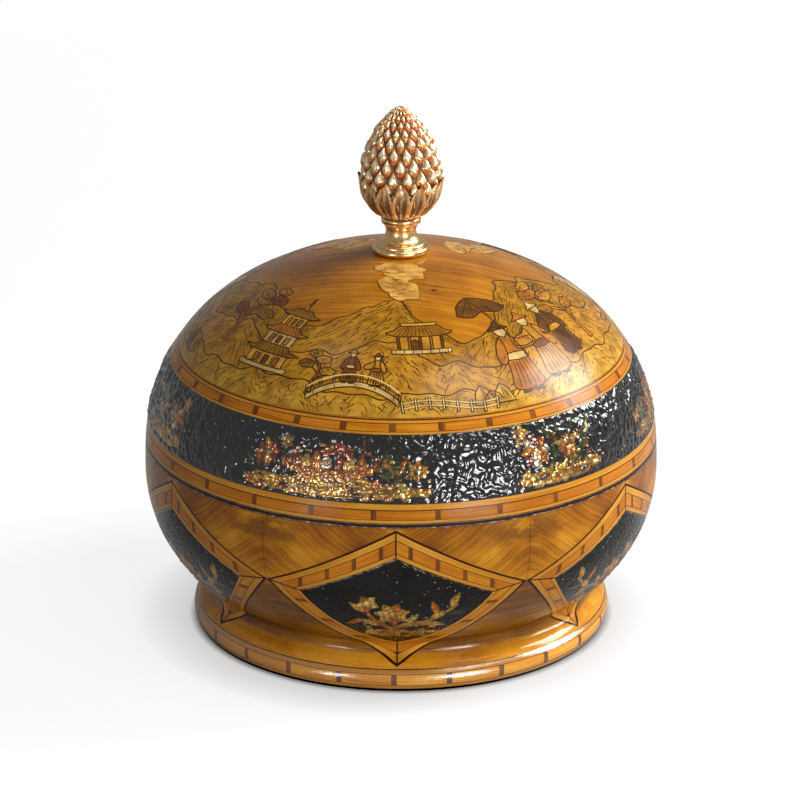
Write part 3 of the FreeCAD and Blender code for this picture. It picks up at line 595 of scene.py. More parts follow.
def gilding(name, bole_low, bole_high, recessed=True, depth_mm=0.12, metal=1.0):
    """Gold leaf over a red-brown bole, which shows where it is rubbed and in the recesses.

    The piece's own "recess" attribute shows the recesses. "warm" shows the bole on the lower faces
    of the scales, partly as painted shade, and "pale" is a painted highlight in a paler gold."""
    surface = Surface(name, Roughness=0.27, IOR=1.5, Coat_Weight=0.2, Coat_Roughness=0.12)
    blotch, fine = surface.specks(0.35, 5, 0.65), surface.specks(2.1)
    gold = (blotch * 0.7 + fine * 0.3).ramp((0.30, 206, 138, 72), (0.45, 238, 186, 118),
                                            (0.60, 252, 224, 170))
    bole = fine.ramp((0.3, *bole_low), (0.7, *bole_high))
    rubbed = blotch.above(0.66, 0.05) * 0.45
    if recessed:
        deep = surface.attribute("recess") + (fine - 0.5) * 0.25
        rubbed = rubbed.math("MAXIMUM", deep.above(0.62, 0.30) * 0.92)
    # Bole on the scales' lower faces, which also stands for their shade.
    warm = (surface.attribute("warm") + (fine - 0.5) * 0.3).above(0.5, 0.35) * 0.85
    pale = (surface.attribute("pale") + (fine - 0.5) * 0.2).above(0.5, 0.3) * 0.85
    # Painted highlight: a near-white gold on upper faces and ridges.
    gold = surface.mix(pale, gold, tint(255, 240, 212))
    gold = surface.mix(warm, gold, tint(196, 94, 44))
    surface.link("Metallic", (1 - rubbed * 0.75) * (1 - warm * 0.6) * (1 - pale * 0.5) * metal)
    surface.link("Roughness", rubbed * 0.25 + 0.2 + fine * 0.12)
    return surface.finish(surface.mix(rubbed, gold, bole), blotch * 0.6 + fine * 0.4, depth_mm)


def lacquer_relief(name, seed, coat_ior, coat_roughness):
    """Black lacquer with painted and gilt forms, from the piece's own attributes."""
    surface = Surface(name, Roughness=0.3, Specular_IOR_Level=0.05, Coat_Weight=1.0,
                      Coat_Roughness=coat_roughness, Coat_IOR=coat_ior)
    cloud, grit = surface.specks(0.08, shift=seed), surface.specks(0.9, shift=seed)
    ground = (cloud * 0.5 + grit * 0.5).ramp((0.38, 2, 2, 2), (0.66, 30, 26, 22))
    # Pale chips in the black ground, made many so that some serve as painted glints.
    chips_and_glints = surface.specks(0.5, 1, shift=seed + 3).above(0.75, 0.01)
    ground = surface.mix(chips_and_glints, ground, tint(190, 180, 164))
    cover = surface.attribute("cover")
    rubbed = (grit * 0.6 + cloud * 0.4).above(0.60, 0.06)
    painted = surface.mix(rubbed * 0.45, surface.attribute("paint", "Color"), tint(70, 34, 20))
    surface.link("Metallic", cover * 0.7 * (1 - rubbed))
    surface.link("Roughness", cover * 0.05 + 0.16 + grit * 0.10)
    return surface.finish(surface.mix(cover, ground, painted), grit, 0.08)


# Meshes

def add_object(name, data):
    """A new object in the scene."""
    thing = bpy.data.objects.new(name, data)
    bpy.context.scene.collection.objects.link(thing)
    return thing


class Parts:
    """Forms that become one mesh piece, with the values painted on their points."""

    def __init__(self):
        self.points, self.faces, self.values = [], [], {}
        self.count = 0

    def add(self, points, faces, **values):
        """Takes points in millimetres, the faces between them and values for each point."""
        points = points.reshape(-1, 3)
        self.points.append(points)
        self.faces += [[self.count + corner for corner in face] for face in faces]
        for name, value in values.items():
            self.values.setdefault(name, []).append(value)
        self.count += len(points)

    def piece(self, name, material, body, slot, replaces=(), smooth=True, sharp=None):
        """The piece, riding on a body in place of the nodes that it replaces."""
        mesh = bpy.data.meshes.new(name)
        mesh.from_pydata(np.concatenate(self.points) * MM, [], self.faces)
        mesh.validate()
        mesh.materials.append(material)
        piece = add_object(name, mesh)
        if smooth:
            mesh.shade_smooth()
        if sharp is not None:
            mesh.set_sharp_from_angle(angle=math.radians(sharp))
        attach(piece, body)
        if replaces:
            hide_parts(*replaces)
        for key, values in self.values.items():
            values = np.concatenate(values).astype(np.float32)
            kind, field = ("FLOAT_COLOR", "color") if values.ndim == 2 else ("FLOAT", "value")
            attribute = mesh.attributes.new(key, kind, "POINT")
            attribute.data.foreach_set(field, values.ravel())


def grid_faces(rows, columns, closed):
    """Quads between rows of points that each go round. Closed also joins the last to the first."""
    row = np.arange(rows if closed else rows - 1)[:, None]
    column = np.arange(columns)[None, :]
    above, beside = (row + 1) % rows, (column + 1) % columns
    corners = [row * columns + column, row * columns + beside, above * columns + beside,
               above * columns + column]
    return np.stack([corner.ravel() for corner in corners], 1).tolist()


def tube_faces(rows, columns):
    """The faces of a form whose rows go round it, with its two ends."""
    last = (rows - 1) * columns
    ends = [list(range(columns - 1, -1, -1)), list(range(last, last + columns))]
    return grid_faces(rows, columns, False) + ends


# Noise and lumps worked on arrays of places

def eased(share):
    """A share from 0 to 1 that starts and ends softly."""
    return share * share * (3 - 2 * share)


def hashed(first, second, salt):
    """A fixed pseudo-random number from 0 to 1 for each pair of whole numbers."""
    value = np.sin(first * 127.1 + second * 311.7 + salt * 74.7) * 43758.5453
    return value - np.floor(value)


def cells(u, v, cell, around):
    """A column's width, the column and the row of each place, and what makes columns repeat
    after a length around, if one is given."""
    count = None if around is None else max(1, round(around / cell))
    step = cell if count is None else around / count
    key = (lambda column: column) if count is None else (lambda column: column % count)
    return step, np.floor(u / step), np.floor(v / cell), key


def near_cells(u, v, cell, around):
    """The nine cells round each place: a column's width, the column, its key and the row."""
    step, i, j, key = cells(u, v, cell, around)
    for column in (i - 1, i, i + 1):
        for row in (j - 1, j, j + 1):
            yield step, column, key(column), row


def soft_noise(u, v, cell, salt, around=None):
    """Smooth noise from 0 to 1 over a plane, which can repeat after a length around."""
    step, i, j, key = cells(u, v, cell, around)
    a, b = eased(u / step - i), eased(v / cell - j)
    left, right = key(i), key(i + 1)
    low = hashed(left, j, salt) * (1 - a) + hashed(right, j, salt) * a
    high = hashed(left, j + 1, salt) * (1 - a) + hashed(right, j + 1, salt) * a
    return low * (1 - b) + high * b


def bends(u, v, cell, size, around):
    """Soft shifts of both places."""
    return [(soft_noise(u, v, cell, salt, around) - 0.5) * size for salt in (1.0, 2.0)]


def pebbles(u, v, cell, salt):
    """Rounded lumps from 0 in the grooves between them to 1 on their tops."""
    nearest = np.full(u.shape, 9.0)
    second = nearest
    for step, column, key, row in near_cells(u, v, cell, None):
        gap_u = (column + 0.1 + 0.8 * hashed(key, row, salt)) - u / step
        gap_v = (row + 0.1 + 0.8 * hashed(key, row, salt + 9)) - v / cell
        gap = np.hypot(gap_u, gap_v)
        closer = gap < nearest
        second = np.where(closer, nearest, np.minimum(second, gap))
        nearest = np.where(closer, gap, nearest)
    return np.clip((second - nearest) * 1.6, 0, 1) ** 0.6


def lacquer_lumps(u, v, coarse, fine, bend):
    """Wrinkled lacquer: rounded worm-like lumps with smaller ones over them."""
    bend_u, bend_v = bends(u, v, 8.0, bend, None)
    big = pebbles(u + bend_u, (v + bend_v) * 0.9, coarse, 3.0)
    small = pebbles(u + bend_v, v + bend_u, fine, 4.0)
    return big * 0.84 + small * 0.16


def lacquer_grains(u, v, cell, around):
    """Raised grains of lacquer from 0 to 1, longer than they are wide, that lean many ways."""
    best = np.zeros(u.shape)
    for step, column, key, row in near_cells(u, v, cell, around):
        gap_u = u - (column + 0.12 + 0.76 * hashed(key, row, 3.0)) * step
        gap_v = v - (row + 0.12 + 0.76 * hashed(key, row, 12.0)) * cell
        lean = 1.95 + 2.4 * (hashed(key, row, 21.0) - 0.5)
        long = cell * (0.62 + 0.50 * hashed(key, row, 31.0))
        wide = cell * (0.36 + 0.22 * hashed(key, row, 41.0))
        a = (gap_u * np.cos(lean) + gap_v * np.sin(lean)) / long
        b = (gap_v * np.cos(lean) - gap_u * np.sin(lean)) / wide
        best = np.maximum(best, (1 - a * a - b * b) * (0.7 + 0.3 * hashed(key, row, 51.0)))
    return best


# Lines and outlines

def distance_to_line(u, v, points):
    """Distance of each place to a line through points, and how far along it that is."""
    best = np.full(u.shape, 1e9)
    share = np.zeros(u.shape)
    steps = len(points) - 1
    for number, (a, b) in enumerate(zip(points, points[1:])):
        along = np.array(b, float) - a
        place = ((u - a[0]) * along[0] + (v - a[1]) * along[1]) / max(along @ along, 1e-9)
        place = np.clip(place, 0, 1)
        gap = np.hypot(u - a[0] - along[0] * place, v - a[1] - along[1] * place)
        closer = gap < best
        best = np.where(closer, gap, best)
        share = np.where(closer, (number + place) / steps, share)
    return best, share


def inside_outline(u, v, points):
    """True where a place is inside a closed outline."""
    inside = np.zeros(u.shape, bool)
    for a, b in zip(points, points[1:] + points[:1]):
        if a[1] == b[1]:
            continue
        crosses = (a[1] > v) != (b[1] > v)
        inside ^= crosses & (u < (b[0] - a[0]) * (v - a[1]) / (b[1] - a[1]) + a[0])
    return inside


def spline(four, steps):
    """A smooth line from the second of four points up to the third, without the third."""
    a, b, c, d = np.array(four, float)
    return [tuple(0.5 * (2 * b + (c - a) * t + (2 * a - 5 * b + 4 * c - d) * t**2
                         + (3 * b - a - 3 * c + d) * t**3))
            for t in (step / steps for step in range(steps))]


def rounded(points, steps=5):
    """A smooth closed outline through points."""
    ring = [points[-1], *points, *points[:2]]
    return [spot for k in range(len(points)) for spot in spline(ring[k:k + 4], steps)]


def curved(points, steps=6):
    """A smooth open line through points."""
    line = [points[0], *points, points[-1]]
    result = [spot for k in range(len(points) - 1) for spot in spline(line[k:k + 4], steps)]
    return result + [tuple(points[-1])]


def moved(points, shift, scale=1.0, flip=1, lean=0.0):
    """Points turned by an angle, scaled and moved."""
    c, s = math.cos(lean), math.sin(lean)
    return [(shift[0] + flip * scale * (x * c - y * s), shift[1] + scale * (x * s + y * c))
            for x, y in points]


def leaf_outline(length, width, bend=0.0):
    """A pointed leaf that starts at the origin and grows along X."""
    spots = [(0, 0), (0.25, 0.42), (0.55, 0.5), (0.85, 0.22), (1, 0), (0.85, -0.2),
             (0.55, -0.42), (0.25, -0.36)]
    return rounded([(length * a, width * b + bend * a * a * length) for a, b in spots], 3)


def ragged(centre, half_wide, half_high, dice, corners=7):
    """An uneven outline with corners."""
    result = []
    for k in range(corners):
        a = (k + dice.uniform(-0.3, 0.3)) * 2 * math.pi / corners
        reach = dice.uniform(0.72, 1.2)
        result.append((centre[0] + half_wide * reach * math.cos(a),
                       centre[1] + half_high * reach * math.sin(a)))
    return result


def evenly(points, step):
    """Points along an open line, about a step apart, with its corners kept."""
    result = [points[0]]
    for a, b in zip(points, points[1:]):
        count = max(1, math.ceil(math.dist(a, b) / step))
        result += [(a[0] + (b[0] - a[0]) * k / count, a[1] + (b[1] - a[1]) * k / count)
                   for k in range(1, count + 1)]
    return result


# Finial

SCALE_POINT = -0.12
SCALE_ROUND = 1.4
SCALE_RELIEF = 2.7
SCALE_RISE_SHARE = 0.76
SCALE_PITCH = 2 * math.pi / SCALE_COUNT
CONE_TIP_RADIUS = 2.0
CONE_TIP_LOW = 315.2
CONE_COLUMNS = SCALE_COUNT * 22
CONE_STEPS = 190
CONE_MEAN_RADIUS = 21
SCALE_GROOVE = 0.16
SCALE_FLANK = 0.56
SCALE_SUNK = 0.6
HAND_CELL = 2.6
HAND_RELIEF = 0.6


def facets_at(turned, row_place):
    """Height from 0 to 1 of the scale at a place, its place up the scale from -1 to 1, and a
    number of the scale's own."""
    best, spot, own = np.zeros((3,) + turned.shape)
    for offset in (-1, 0):
        row = np.floor(row_place) + offset
        column = turned / SCALE_PITCH - row / 2
        p = np.abs((column + 0.5) % 1 - 0.5) * 2
        q = row_place - (row + 1)
        rise = np.where(q > SCALE_POINT, (q - SCALE_POINT) / (1 - SCALE_POINT),
                        (SCALE_POINT - q) / (1 + SCALE_POINT))
        height = np.clip(1 - (p**SCALE_ROUND + rise**SCALE_ROUND) ** (1 / SCALE_ROUND), 0, 1)
        better = height > best
        best = np.where(better, height, best)
        spot = np.where(better, q, spot)
        own = np.where(better, hashed(np.round(column) % SCALE_COUNT, row, 2.0), own)
    return best, spot, own


def bow_through(radius, height):
    """The radius of the arc from the cone's widest place to a point of its side."""
    side = CONE_RADIUS - radius
    return (side**2 + (height - CONE_WIDEST) ** 2) / (2 * side)


def build_cone(material):
    """The cone of pointed scales, each a raised point over a groove where it meets the next."""
    low_bow = bow_through(CONE_BASE_RADIUS, CUP_TOP)
    high_bow = bow_through(CONE_TIP_RADIUS, CONE_TIP_LOW)

    def side_at(height):
        """Slope and radius of the smooth cone."""
        bow = np.where(height < CONE_WIDEST, low_bow, high_bow)
        slope = np.arcsin((height - CONE_WIDEST) / bow)
        return slope, CONE_RADIUS - bow * (1 - np.cos(slope))

    heights = [CUP_TOP]
    for _ in range(SCALE_ROWS):
        slope, radius = side_at(heights[-1])
        heights.append(heights[-1] + SCALE_RISE_SHARE * SCALE_PITCH * radius * np.cos(slope))
    heights = np.array(heights)
    heights = CUP_TOP + (heights - CUP_TOP) * (CONE_TIP_LOW - CUP_TOP) / (heights[-1] - CUP_TOP)
    z = np.linspace(CUP_TOP, CONE_TIP_LOW, CONE_STEPS)[:, None]
    turned = np.linspace(0, 2 * math.pi, CONE_COLUMNS, endpoint=False)[None, :]
    z, turned = np.broadcast_arrays(z, turned)
    height, spot, own = facets_at(turned, np.interp(z, heights, np.arange(SCALE_ROWS + 1)))
    slope, radius = side_at(z)
    swell = np.clip((z - CUP_TOP + 1.5) / 5, 0, 1) * (0.35 + 0.65 * radius / CONE_RADIUS)
    raised = np.clip((height - SCALE_GROOVE) / SCALE_FLANK, 0, 1)
    lump = np.sin(raised * math.pi / 2)
    around = 2 * math.pi * CONE_MEAN_RADIUS
    hand = soft_noise(turned * CONE_MEAN_RADIUS, z, HAND_CELL, 3.0, around) - 0.5
    relief = SCALE_RELIEF * swell * lump * (0.8 + 0.4 * own) + HAND_RELIEF * hand * swell
    r = radius - SCALE_SUNK * swell + relief * np.cos(slope)
    up = np.minimum(z + relief * np.sin(slope) * 0.9 + 0.5 * height * swell, CONE_TOP - 0.4)
    ends = [[0, 0, CUP_TOP - 0.3], [0, 0, CONE_TOP]]
    points = np.concatenate([around_axis(r, turned, up).reshape(-1, 3), ends])
    rows, columns = r.shape
    faces = grid_faces(rows, columns, False)
    last, bottom, top = (rows - 1) * columns, rows * columns, rows * columns + 1
    for column in range(columns):
        beside = (column + 1) % columns
        faces += [(beside, column, bottom), (last + column, last + beside, top)]
    # Lower faces get bole, partly as painted shade. Upper faces get a painted highlight.
    lift = np.clip((spot - SCALE_POINT) * -1.0, 0, 1)
    under = np.clip(lift * 3.2, 0, 1) * (0.45 + 0.75 * own) * (height < 0.93)
    above = np.clip((spot - SCALE_POINT) * 4 + 0.6, 0, 1) * np.clip((height - 0.3) * 3, 0, 1)
    cone = Parts()
    cone.add(points, faces, recess=np.append(np.clip(1.2 - raised * 3.0, 0, 1), [1, 0.3]),
             warm=np.append(under, [0, 0]), pale=np.append(above, [0, 0]))
    cone.piece("finial_cone_scales", material, "lid", "gilding", ("finial_cone",))


LEAF_STATIONS = (
    # height over the neck, radius, half width
    (0.4, 11.0, 1.9), (3.0, 15.6, 3.3), (6.3, 18.9, 4.5), (10.4, 21.8, 5.5), (14.2, 23.2, 5.4),
    (17.4, 23.7, 4.6), (20.0, 24.0, 3.6), (22.6, 24.7, 2.2), (24.8, 25.7, 0.4),
)
LEAF_RINGS = (
    # scale, inset, lean
    (1.0, 0.0, 0.09), (0.80, 1.1, -0.07),
)
LEAF_COUNT = 14
LEAF_ROWS = 34
LEAF_COLUMNS = 15
LEAF_THICK = 1.2
CUP = (
    # radius, height over the neck
    (9.0, -0.2), (10.9, -0.2), (13.4, 1.6), (16.6, 4.6), (19.0, 8.4), (20.4, 12.2),
    (20.9, 15.6), (19.4, 16.0), (9.0, 14.6),
)
CUP_COLUMNS = 96
BEHIND = 0.9


def leaf_points(turned, scale, inset, lean):
    """Outer and inner points of one leaf, ridged along its middle and edges, and the outer ones'
    recess values and pale values, which paint highlights on the ridges."""
    stations = np.array(LEAF_STATIONS)
    share = np.linspace(0, 1, LEAF_ROWS)[:, None]
    place = share * (len(stations) - 1)
    index = np.arange(len(stations))
    z = NECK_TOP + np.interp(place, index, stations[:, 0]) * scale
    r = np.interp(z, NECK_TOP + stations[:, 0], stations[:, 1]) - inset
    half = np.interp(place, index, stations[:, 2]) * (0.55 + 0.45 * scale)
    across = np.linspace(-1, 1, LEAF_COLUMNS)[None, :]
    middle = np.exp(-((across / 0.18) ** 2)) * 1.0
    edge = np.exp(-(((np.abs(across) - 0.80) / 0.2) ** 2)) * 0.95
    hollow = -1.15 * (1 - across**2) * np.clip(share * 3, 0, 1)
    vein = 0.16 * np.sin(share * 60 - np.abs(across) * 6) * (1 - across**2)
    relief = (middle + edge) * np.clip(half / 3, 0.25, 1) + hollow + vein
    curl = r + relief * 0.9
    angle = turned + across * half / r + lean * share**2
    back = curl - LEAF_THICK * np.clip(half / 2, 0.3, 1)
    recess = np.clip(0.42 - relief * 1.2, 0, 1) * np.clip(1.35 - share, 0.25, 1)
    # Painted highlight on the leaf's ridges.
    pale = np.clip(relief * 1.3 - 0.35, 0, 1) * np.clip(share * 3 - 0.4, 0, 1)
    return around_axis(curl, angle, z), around_axis(back, angle, z), recess, pale


def build_calyx(material):
    """A cup with two rings of pointed leaves, the outer ones turned out at their tips."""
    calyx = Parts()
    for ring, (scale, inset, lean) in enumerate(LEAF_RINGS):
        for leaf in range(LEAF_COUNT):
            turned = (leaf + ring / 2) * 2 * math.pi / LEAF_COUNT
            jitter = 1 + 0.03 * math.sin(leaf * 5.1 + ring)
            outer, inner, deep, light = leaf_points(turned, scale * jitter, inset,
                                                    lean + 0.05 * math.sin(leaf * 3.7))
            points = np.concatenate([outer, inner[:, ::-1]], 1)
            calyx.add(points, tube_faces(*points.shape[:2]),
                      recess=np.concatenate([deep, deep * 0 + BEHIND], 1).ravel(),
                      pale=np.concatenate([light, light * 0], 1).ravel())
    turned = np.linspace(0, 2 * math.pi, CUP_COLUMNS, endpoint=False)
    radius, height = np.array(CUP).T[:, :, None]
    points = around_axis(radius, turned, NECK_TOP + height)
    spots = len(CUP) * CUP_COLUMNS
    calyx.add(points, grid_faces(len(CUP), CUP_COLUMNS, True), recess=np.full(spots, BEHIND),
              pale=np.zeros(spots))
    calyx.piece("finial_calyx_leaves", material, "lid", "gilding", ("finial_calyx",), sharp=60)


# Black lacquer band and panels

GOLD = tint(230, 168, 62)
PALE_GOLD = tint(236, 190, 98)
STRAW_GOLD = tint(206, 152, 54)
OCHRE = tint(206, 120, 34)
RUST = tint(158, 74, 42)
BROWN = tint(96, 52, 16)
LEAF_GREEN = tint(74, 92, 40)
DEEP_GREEN = tint(44, 70, 34)
IVORY = tint(222, 206, 176)
ROCK_AREA = 4.2


class Relief:
    """Raised and painted forms over a lacquered surface, worked on a grid of places."""

    def __init__(self, u, v):
        self.u, self.v = u, v
        self.rise, self.cover = np.zeros((2,) + u.shape)
        self.colour = np.zeros(u.shape + (3,))

    def lay(self, window, gap, soft, colour, rise, lumps):
        """Raises what lies inside (gap under 0) and colours it, with painted light and shade:
        lighter on the lumps' tops, darker in their grooves and towards the form's edge.
        """
        mask = eased(np.clip(0.5 - gap / soft, 0, 1))
        crown = np.clip(-gap / 2.2, 0, 1) ** 0.6
        u, v = self.u[window], self.v[window]
        grain = lacquer_lumps(u, v, lumps * 1.5, lumps * 0.8, lumps * 2.2)
        # Painted light and shade, from the lumps' height and the distance to the edge.
        shade = 0.10 + 1.15 * grain * (0.50 + 0.95 * soft_noise(u, v, 3.2, 2.0))
        shade *= 0.25 + 0.75 * np.clip(-gap / 0.6, 0, 1)
        top = rise * (0.35 + 0.65 * crown) * (0.42 + 0.58 * grain)
        self.rise[window] = self.rise[window] * (1 - mask) + top * mask
        self.cover[window] = np.maximum(self.cover[window], mask)
        tone = np.array(colour[:3])[None, :] * shade[..., None]
        old = self.colour[window]
        self.colour[window] = old + (tone - old) * mask[..., None]

    def window(self, points, margin):
        """The part of the grid round points, or None."""
        low = np.min(points, axis=0) - margin
        high = np.max(points, axis=0) + margin
        near = (self.u > low[0]) & (self.u < high[0]) & (self.v > low[1]) & (self.v < high[1])
        rows, columns = np.flatnonzero(near.any(1)), np.flatnonzero(near.any(0))
        if not len(rows) or not len(columns):
            return None
        return slice(rows[0], rows[-1] + 1), slice(columns[0], columns[-1] + 1)

    def form(self, points, colour, rise, soft=0.7, lumps=2.2):
        """A raised outline."""
        window = self.window(points, 2.0)
        if window:
            u, v = self.u[window], self.v[window]
            gap, _ = distance_to_line(u, v, points + points[:1])
            gap = np.where(inside_outline(u, v, points), -gap, gap)
            self.lay(window, gap, soft, colour, rise, lumps)

    def stroke(self, points, width, colour, rise, taper=0.75):
        """A raised line that grows thinner."""
        window = self.window(points, width + 2.0)
        if window:
            gap, share = distance_to_line(self.u[window], self.v[window], points)
            self.lay(window, gap - width / 2 * (1 - taper * share), 0.6, colour, rise, 1.8)

    def painted(self, *spare):
        """Colour and cover of the outer side, with 0 on the spare rows and columns behind it."""
        edges = [(0, count) for count in spare]
        colour = np.concatenate([self.colour, np.ones(self.u.shape + (1,))], -1)
        return {"paint": np.pad(colour, edges + [(0, 0)]).reshape(-1, 4),
                "cover": np.pad(self.cover, edges).ravel()}


class Motif:
    """One motif on the lacquer: where it stands, its size, and which way it faces."""

    def __init__(self, relief, spot, scale, flip, seed):
        self.relief, self.place = relief, (spot, scale, flip)
        self.dice = np.random.default_rng(seed)

    def form(self, points, *look):
        self.relief.form(moved(points, *self.place), *look)

    def stroke(self, points, *look):
        self.relief.stroke(moved(points, *self.place), *look)

    def petals(self, spot, count, length, width, colours, turn, rise=0.9):
        """Leaves or petals round a point."""
        for number in range(count):
            lean = turn + number * 2 * math.pi / count
            outline = moved(leaf_outline(length, width), spot, lean=lean)
            self.form(outline, colours[number % len(colours)], rise)
        heart = [(spot[0] + 1.9 * math.cos(a), spot[1] + 1.9 * math.sin(a))
                 for a in (0, 1.6, 3.1, 4.7)]
        self.form(rounded(heart), PALE_GOLD, rise * 1.2)

    def leaves(self, places, colours, width=3.4, rise=0.8):
        """Single leaves: each place is (x, y, length, lean in radians)."""
        for number, (x, y, length, lean) in enumerate(places):
            outline = leaf_outline(length, width, 0.08 * math.sin(number * 2.3))
            self.form(moved(outline, (x, y), lean=lean), colours[number % len(colours)], rise)

    def bank(self, half, height):
        """A gilt bank of heaped rocks, with painted shade in the clefts between them."""
        dice = np.random.default_rng(round(half * 10))
        places = np.linspace(-1, 1, 15)
        top = [(half * k, height * (0.95 - 0.6 * k * k) + dice.uniform(-1.2, 1.2)) for k in places]
        low = [(half * 0.94 * k, -2.6 + 2.0 * k * k + dice.uniform(-0.6, 0.6))
               for k in places[::-1]]
        self.form(top + low, STRAW_GOLD, 0.9, 0.5, 1.5)
        colours = (GOLD, PALE_GOLD, GOLD, OCHRE, STRAW_GOLD, BROWN)
        for number in range(round(half * height / ROCK_AREA)):
            k = dice.uniform(-0.96, 0.96)
            up = dice.uniform(-0.25, 0.92)
            spot = (half * k, height * up * (1 - 0.5 * k * k))
            outline = ragged(spot, dice.uniform(1.6, 4.4), dice.uniform(1.1, 2.4), dice)
            self.form(outline, colours[number % 6], dice.uniform(1.0, 1.9), 0.5, 1.7)

    def dabs(self, low, high, count, colours):
        """Small raised dabs of gilding and colour between two corners."""
        dice = self.dice
        for number in range(count):
            spot = (dice.uniform(low[0], high[0]), dice.uniform(low[1], high[1]))
            outline = ragged(spot, dice.uniform(0.7, 2.2), dice.uniform(0.6, 1.5), dice, 6)
            self.form(outline, colours[number % len(colours)], dice.uniform(0.7, 1.3), 0.5, 1.5)


def spray(motif):
    """A flowering branch over a rock: blooms, buds and pointed leaves."""
    motif.bank(13, 4.0)
    motif.stroke(curved([(-3, 4), (3, 8), (10, 9.5), (17, 14), (22, 19)]), 4.2, GOLD, 1.0, 0.45)
    motif.stroke(curved([(-2, 4), (-8, 9), (-12, 15), (-11, 20)]), 3.8, OCHRE, 0.9, 0.45)
    motif.leaves(((-12, 15, 9.0, 2.5), (-13, 11, 8.0, 3.6), (-8, 8, 7.5, 2.9), (9, 9, 9.0, -0.3),
                  (17, 14, 9.0, 0.1), (20, 18, 8.0, 1.2), (15, 13, 9.0, 1.75), (3, 8, 8.0, 1.0),
                  (12, 10, 8.0, 0.9)), (GOLD, OCHRE, PALE_GOLD, GOLD, DEEP_GREEN))
    motif.petals((-2.5, 14), 7, 7.2, 4.8, (GOLD, OCHRE, GOLD, PALE_GOLD), 0.3)
    motif.petals((-12, 20), 5, 4.8, 3.6, (PALE_GOLD, OCHRE), 0.9)
    motif.dabs((-14, 3), (16, 10), 16, (GOLD, OCHRE, PALE_GOLD))


def island(motif):
    """A long gilt bank with a moored, laden boat, lotus and broad leaves."""
    dice = motif.dice
    motif.bank(57, 9.5)
    hull = rounded([(-33, 17), (-29, 11), (-14, 8.5), (8, 8.5), (20, 11), (26, 17.5), (14, 14.5),
                    (-4, 13.5), (-24, 14.5)])
    motif.form(hull, OCHRE, 1.25)
    for number in range(7):
        x = -24 + number * 6.6 + dice.uniform(-0.8, 0.8)
        tall = dice.uniform(7, 10)
        outline = rounded([(x - 3.2, 14), (x - 2.6, 14 + tall * 0.6), (x + 0.4, 14 + tall),
                           (x + 3.2, 14 + tall * 0.5), (x + 3.2, 14)])
        motif.form(outline, (RUST, PALE_GOLD, OCHRE, IVORY)[number % 4], 1.15)
    motif.form(rounded([(-8, 20), (-5, 27), (2, 29), (9, 26), (11, 20), (2, 22.5)]), RUST, 1.2)
    motif.stroke(curved([(14, 14), (17, 24), (16, 34)]), 2.2, OCHRE, 1.0)
    for number in range(8):
        outline = leaf_outline(13 + dice.uniform(-2, 3), 4.2, 0.12)
        outline = moved(outline, (35, 10), lean=math.radians(12 + number * 21))
        motif.form(outline, (DEEP_GREEN, LEAF_GREEN, OCHRE)[number % 3], 0.9)
    motif.petals((-42, 18), 8, 8.5, 5.4, (OCHRE, RUST, GOLD, RUST), 0.2, 1.1)
    motif.petals((-31, 26), 6, 5.0, 3.8, (IVORY, OCHRE), 0.5, 1.0)
    motif.petals((48, 14), 6, 6.5, 4.6, (GOLD, OCHRE, PALE_GOLD), 0.4, 1.0)
    motif.leaves(((-50, 10, 9, 2.4), (-46, 8, 10, 1.9), (28, 17, 9, 1.2), (22, 16, 8, 0.7)),
                 (LEAF_GREEN, RUST), 3.6, 0.9)
    motif.dabs((-48, 9), (24, 27), 70, (OCHRE, RUST, GOLD, PALE_GOLD, OCHRE, IVORY))
    motif.dabs((24, 8), (56, 22), 26, (GOLD, DEEP_GREEN, PALE_GOLD, OCHRE))


def bamboo(motif):
    """A gilt rock with leaning bamboo and peonies."""
    dice = motif.dice
    motif.bank(27, 7.0)
    for number in range(3):
        cane = curved([(-6 + number * 9, 4), (-4 + number * 10, 15), (1 + number * 12, 27)])
        motif.stroke(cane, 2.2, LEAF_GREEN, 0.8, 0.3)
        motif.leaves([(*cane[3 + 2 * k], 10 + dice.uniform(-2, 3),
                       math.radians(dice.uniform(-35, 55) + (180 if k % 2 else 0)))
                      for k in range(5)], (LEAF_GREEN, DEEP_GREEN, PALE_GOLD), 3.2)
    motif.petals((-15, 15), 8, 9.0, 6.0, (IVORY, OCHRE, RUST), 0.0, 1.2)
    motif.petals((5, 13), 7, 6.5, 4.8, (OCHRE, RUST, GOLD), 0.4, 1.1)
    motif.petals((-22, 25), 5, 5.0, 3.8, (GOLD, PALE_GOLD), 0.2, 1.0)
    motif.dabs((-26, 6), (24, 24), 44, (OCHRE, GOLD, RUST, PALE_GOLD, LEAF_GREEN))


BAND_PITCH = 0.56
BAND_INNER_ROWS = 8
BAND_RADIUS = 146.0
GRAIN_CELL = 4.3
LUMP_CELL = 7.0
PATCH_CELL = 24.0
BAND_MOTIFS = (
    # kind, turn in degrees, rise over the band's foot, scale, flip, seed
    (island, -14, 4.6, 1.0, 1, 11),
    (bamboo, 40, 5.0, 1.15, 1, 12),
    (island, 87, 5.0, 0.85, -1, 13),
    (bamboo, 120, 6.0, 0.95, -1, 14),
    (island, 155, 5.0, 1.0, 1, 15),
    (bamboo, -160, 6.0, 1.0, 1, 16),
    (island, -114, 5.0, 0.9, -1, 18),
    (bamboo, -69, 6.0, 1.0, -1, 17),
)


